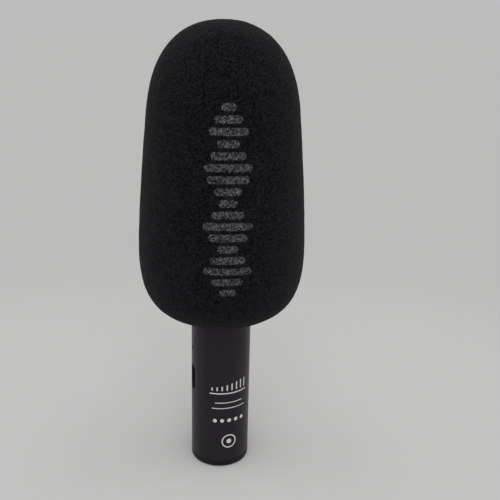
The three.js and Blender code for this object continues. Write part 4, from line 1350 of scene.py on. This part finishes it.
class BuildCarrier(bpy.types.Operator):
    """Model the half-round cradle that holds the board, and the four screws"""

    bl_idname = "microphone.carrier"
    bl_label = "Carrier and screws"

    def execute(self, context):
        metal, inside = chosen(context)
        self.add_cradle(inside)
        steel = metal_finish("screw_steel", metal.steel_colour, roughness=0.22)
        cap_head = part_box("cap_screw_left")[1].z - HEAD_HEIGHT
        lower, upper = ((0, PART_SEAT, height) for height in BOARD_SCREWS)
        left, right = ((x, y, cap_head) for x, y in CAP_SCREWS)
        screws = (
            ("lower_board_screw", "board_screw_lower", (math.pi / 2, 0, 0), lower),
            ("upper_board_screw", "board_screw_upper", (math.pi / 2, 0, 0), upper),
            ("left_cap_screw", "cap_screw_left", (0, 0, 0.5), left),
            ("right_cap_screw", "cap_screw_right", (0, 0, 1.1), right),
        )
        for name, node, turn, place in screws:
            low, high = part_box(node)
            screw = self.add_screw(name, max(high - low) - HEAD_HEIGHT)
            place_piece(lay(screw, turn, place), "bright_metal", steel, node)
        return {"FINISHED"}

    def add_cradle(self, inside):
        low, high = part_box("board_carrier")
        ledge, inner, wide = low.y, LINING_RADIUS - 1.2 * MM, 20 * MM
        overlap, boss_overlap, board_pilot, cap_pilot = 0.3 * MM, 0.6 * MM, 3.97 * MM, 3 * MM
        profile = ring_profile(LINING_RADIUS, inner, low.z, high.z, edge=0.15 * MM)
        cradle = lathe("board_cradle", profile, INNER_FLATS)
        foot = disc_profile(inner + overlap, low.z, low.z + 1.4 * MM, edge=0.05 * MM)
        cut(cradle, lathe("foot", foot, INNER_FLATS), operation="UNION")
        cut(cradle, block("front", (-wide, -wide, low.z - PAST), (wide, ledge, high.z + PAST)))
        bosses, pilots = [], []
        for z in BOARD_SCREWS:
            bosses.append(rod("boss", BOSS_RADIUS, (0, ledge, z), (0, inner + boss_overlap, z), SMALL_FLATS))
            pilots.append(rod("pilot", SCREW_HOLE, (0, ledge - PAST, z), (0, ledge + board_pilot, z)))
        for x, y in CAP_SCREWS:
            pilots.append(rod("pilot", SCREW_HOLE, (x, y, low.z - PAST), (x, y, low.z + cap_pilot)))
        cut(cradle, *bosses, operation="UNION")
        cut(cradle, *pilots)
        plastic = moulded_finish("black_moulding", inside.plastic_colour)
        cradle = smooth(break_edges(cradle, width=0.08 * MM, segments=1, angle=50), angle=32)
        place_piece(cradle, "black_plastic", plastic, "board_carrier")

    def add_screw(self, name, shank):
        """A pan-head screw with a cross recess: its head stands on height zero and its shank runs down."""
        pitch, depth = 0.32 * MM, 0.1 * MM
        root = SCREW_RADIUS - depth
        profile = [
            (0, HEAD_HEIGHT), (0.5 * MM, HEAD_HEIGHT), *in_metres([(0.8, 0.68), (0.96, 0.45)]),
            (HEAD_RADIUS, 0.2 * MM), (HEAD_RADIUS, 0.05 * MM), (0.95 * MM, 0), (SCREW_RADIUS, 0),
        ]
        for index in range(int((shank - 0.5 * MM) / pitch)):
            crest = -0.15 * MM - index * pitch
            profile += [(SCREW_RADIUS, crest), (root, crest - pitch / 2)]
        profile += [(root, -shank + 0.15 * MM), (0.18 * MM, -shank), (0, -shank)]
        screw = lathe(name, profile, SMALL_FLATS)
        for x, y in ((0.5, 0.11), (0.11, 0.5)):
            cut(screw, block("recess", Vector((-x, -y, 0.4)) * MM, Vector((x, y, 1.2)) * MM))
        return smooth(screw, angle=35)


class BuildSolderedParts(bpy.types.Operator):
    """Model the chip with its leads, the crystal, the shield can and the status lamp"""

    bl_idname = "microphone.soldered_parts"
    bl_label = "Soldered parts"

    def execute(self, context):
        metal, inside = chosen(context)
        steel = metal_finish("drawn_steel", metal.steel_colour, roughness=0.25)
        self.add_chip(inside, metal_finish("tinned_leads", metal.tin_colour, roughness=0.3))
        self.add_crystal(steel)
        self.add_shield(steel)

        low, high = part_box("status_led")
        radius, bulge = 0.5 * MM, 0.02 * MM
        body = block("status_lamp", (low.x + radius, low.y, low.z), high, edge=0.12 * MM)
        lens = [(0, 0), *round_over(0, 0, radius, 0, 84), (0, radius)]
        place = (low.x + radius + bulge, 0, LIGHT_HEIGHT)
        cut(body, lay(lathe("lens", lens, SMALL_FLATS), (0, -math.pi / 2, 0), place), operation="UNION")
        ivory = moulded_finish("ivory_lamp", inside.ivory_colour, roughness=0.3)
        place_piece(smooth(body, angle=40), "ivory_plastic", ivory, "status_led")
        return {"FINISHED"}

    def add_chip(self, inside, tin):
        low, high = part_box("audio_codec")
        inset, lift = Vector((0.4, 0, 0.4)) * MM, Vector((0, 0.08, 0)) * MM
        mark, dimple, drop = 0.85 * MM, 0.06 * MM, 0.51 * MM
        pins, pitch, out = 7, 0.55 * MM, 2.02 * MM
        body = block("codec_chip", low + inset, high - inset - lift, edge=0.1 * MM)
        x, y, z = low.x + mark, low.y, high.z - mark
        cut(body, rod("dimple", 0.22 * MM, (x, y - PAST, z), (x, y + dimple, z)))
        plastic = moulded_finish("chip_black", inside.plastic_colour, roughness=0.55)
        place_piece(smooth(body), "black_plastic", plastic, "audio_codec")
        path = [(0, 0), (0.12, 0), (0.2, -0.05), (0.24, -0.4), (0.3, -0.46), (0.48, -0.46)]
        lead = bent_strip("lead", in_metres(path), width=0.24 * MM, thickness=0.1 * MM)
        row = spread(lead, [((index - pins // 2) * pitch, out, 0) for index in range(pins)])
        rows = [row] + [copy_of(row, "lead_row", turn=(0, 0, side * math.pi / 2)) for side in (1, 2, 3)]
        middle = (low + high) / 2
        place = (middle.x, high.y - drop, middle.z)
        leads = lay(merged("chip_leads", rows), (math.pi / 2, 0, 0), place)
        place_piece(smooth(leads), "bright_metal", tin)

    def add_crystal(self, steel):
        low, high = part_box("crystal_oscillator")
        inset, foot = Vector((0.12, 0, 0.12)) * MM, Vector((0, 0.3, 0)) * MM
        lid = block("crystal_lid", low + inset, high - inset - foot, edge=0.15 * MM, segments=3)
        place_piece(smooth(lid, angle=40), "bright_metal", steel, "crystal_oscillator")
        base = block("crystal_foot", (low.x, high.y - foot.y, low.z), high, edge=0.05 * MM)
        ceramic = moulded_finish("dark_ceramic", (0.05, 0.04, 0.035), roughness=0.45)
        place_piece(smooth(base), "black_plastic", ceramic)

    def add_shield(self, steel):
        """The shield can: rounded corners, open below, with rows of holes in its roof."""
        low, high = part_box("shield_can")
        wall, deeper = Vector((0.25, 0.25, 0.25)) * MM, Vector((0, 1, 0)) * MM
        can = block("board_shield", low, high + 2 * deeper, edge=0.5 * MM, segments=4)
        hollow = block("hollow", low + wall, high - wall + 3 * deeper, edge=0.3 * MM, segments=3)
        past = Vector((PAST, 0, PAST))
        below = block("below", Vector((low.x, high.y, low.z)) - past, high + past + 4 * deeper)
        x, y, z = (low.x + high.x) / 2, low.y, (low.z + high.z) / 2
        hole = rod("hole", 0.38 * MM, (x, y - PAST, z), (x, y + PAST, z), flats=20)
        column_gap, row_gap = 1.8 * MM, 2.1 * MM
        grid = [(column - 2, row - 1.5) for row in range(4) for column in range(5)]
        holes = spread(hole, [(column * column_gap, 0, row * row_gap) for column, row in grid])
        cut(can, hollow, below, holes)
        place_piece(smooth(can, angle=35), "bright_metal", steel, "shield_can")


class BuildSocket(bpy.types.Operator):
    """Model the socket's body and its two leaf contacts"""

    bl_idname = "microphone.socket"
    bl_label = "Socket"

    def execute(self, context):
        metal, inside = chosen(context)
        low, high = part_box("jack_body")
        half, bore_top = 3.1 * MM, 14.3 * MM
        ear_front, ear_foot, ear_top = 0.83 * MM, 7.3 * MM, 11.3 * MM
        window, deep, open_foot, tip_top, ring_top = 1.05 * MM, 4 * MM, 4.4 * MM, 15.2 * MM, 11.6 * MM
        body = block("socket_body", (-half, low.y, low.z), (half, high.y, high.z))
        ears = block("ears", (low.x, ear_front, ear_foot), (high.x, PART_SEAT, ear_top))
        cut(body, ears, operation="UNION")
        cut(
            body,
            rod("bore", SOCKET_RADIUS, (0, 0, low.z - PAST), (0, 0, bore_top), flats=64),
            block("window", (-window, -deep, open_foot), (window, 0, tip_top)),
            block("window", (-window, 0, open_foot), (window, deep, ring_top)),
        )
        plastic = moulded_finish("socket_black", inside.plastic_colour, roughness=0.42)
        body = smooth(break_edges(body, width=0.12 * MM, segments=2, angle=40), angle=35)
        place_piece(body, "black_plastic", plastic, "jack_body")

        gold = metal_finish("gold_leaf", metal.gold_colour, roughness=0.2)
        for name, turn in (("tip", math.pi), ("ring", 0)):
            contact = name + "_contact"
            path = self.leaf_path("jack_" + contact)
            leaf = bent_strip(name + "_leaf", path, width=1.5 * MM, thickness=0.24 * MM)
            smooth(lay(break_edges(leaf, width=0.03 * MM, segments=1, angle=60), (0, 0, turn)), angle=40)
            place_piece(leaf, "gold_plate", gold, "jack_" + contact, body=contact)
        return {"FINISHED"}

    def leaf_path(self, node):
        """(y, z) points up a leaf: straight from its root, then a hump towards the plug at its end."""
        gap, straight, reach, swing, steps = 0.01 * MM, 2.4 * MM, 1.2 * MM, 0.72 * MM, 16
        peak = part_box(node)[1].z - reach
        points = [(LEAF_REST, LEAF_ROOT + gap), (LEAF_REST, LEAF_ROOT + straight)]
        for step in range(steps + 1):
            share = 2 * step / steps - 1
            hump = 0.5 + 0.5 * math.cos(math.pi * share)
            points.append((LEAF_REST - swing * hump, peak + share * reach))
        return points


BUILD_ORDER = (
    BuildStage,
    BuildWindshield,
    BuildBarrel,
    BuildEndCap,
    BuildNose,
    BuildSleeves,
    BuildDataPort,
    BuildStatusLight,
    BuildCapsule,
    BuildLeads,
    BuildMainBoard,
    BuildCarrier,
    BuildSolderedParts,
    BuildSocket,
)
GROUPS = {
    "microphone_foam": FoamSettings,
    "microphone_metal": MetalSettings,
    "microphone_inside": InsideSettings,
    "microphone_stage": StageSettings,
}


class MICROPHONE_PT_build(bpy.types.Panel):
    """Lists the settings and the pieces"""

    bl_label = "Microphone"
    bl_space_type = "VIEW_3D"
    bl_region_type = "UI"
    bl_category = "Microphone"

    def draw(self, context):
        for operator in BUILD_ORDER:
            self.layout.operator(operator.bl_idname)
        for name, group in GROUPS.items():
            column = self.layout.column()
            for setting in group.__annotations__:
                column.prop(getattr(context.scene, name), setting)


def register():
    for group in (*GROUPS.values(), *BUILD_ORDER, MICROPHONE_PT_build):
        bpy.utils.register_class(group)
    for name, group in GROUPS.items():
        setattr(bpy.types.Scene, name, bpy.props.PointerProperty(type=group))


def unregister():
    for name in GROUPS:
        delattr(bpy.types.Scene, name)
    for group in (MICROPHONE_PT_build, *reversed(BUILD_ORDER), *GROUPS.values()):
        bpy.utils.unregister_class(group)


def main():
    register()
    for operator in BUILD_ORDER:
        group, name = operator.bl_idname.split(".")
        getattr(getattr(bpy.ops, group), name)()


if __name__ == "__main__":
    main()
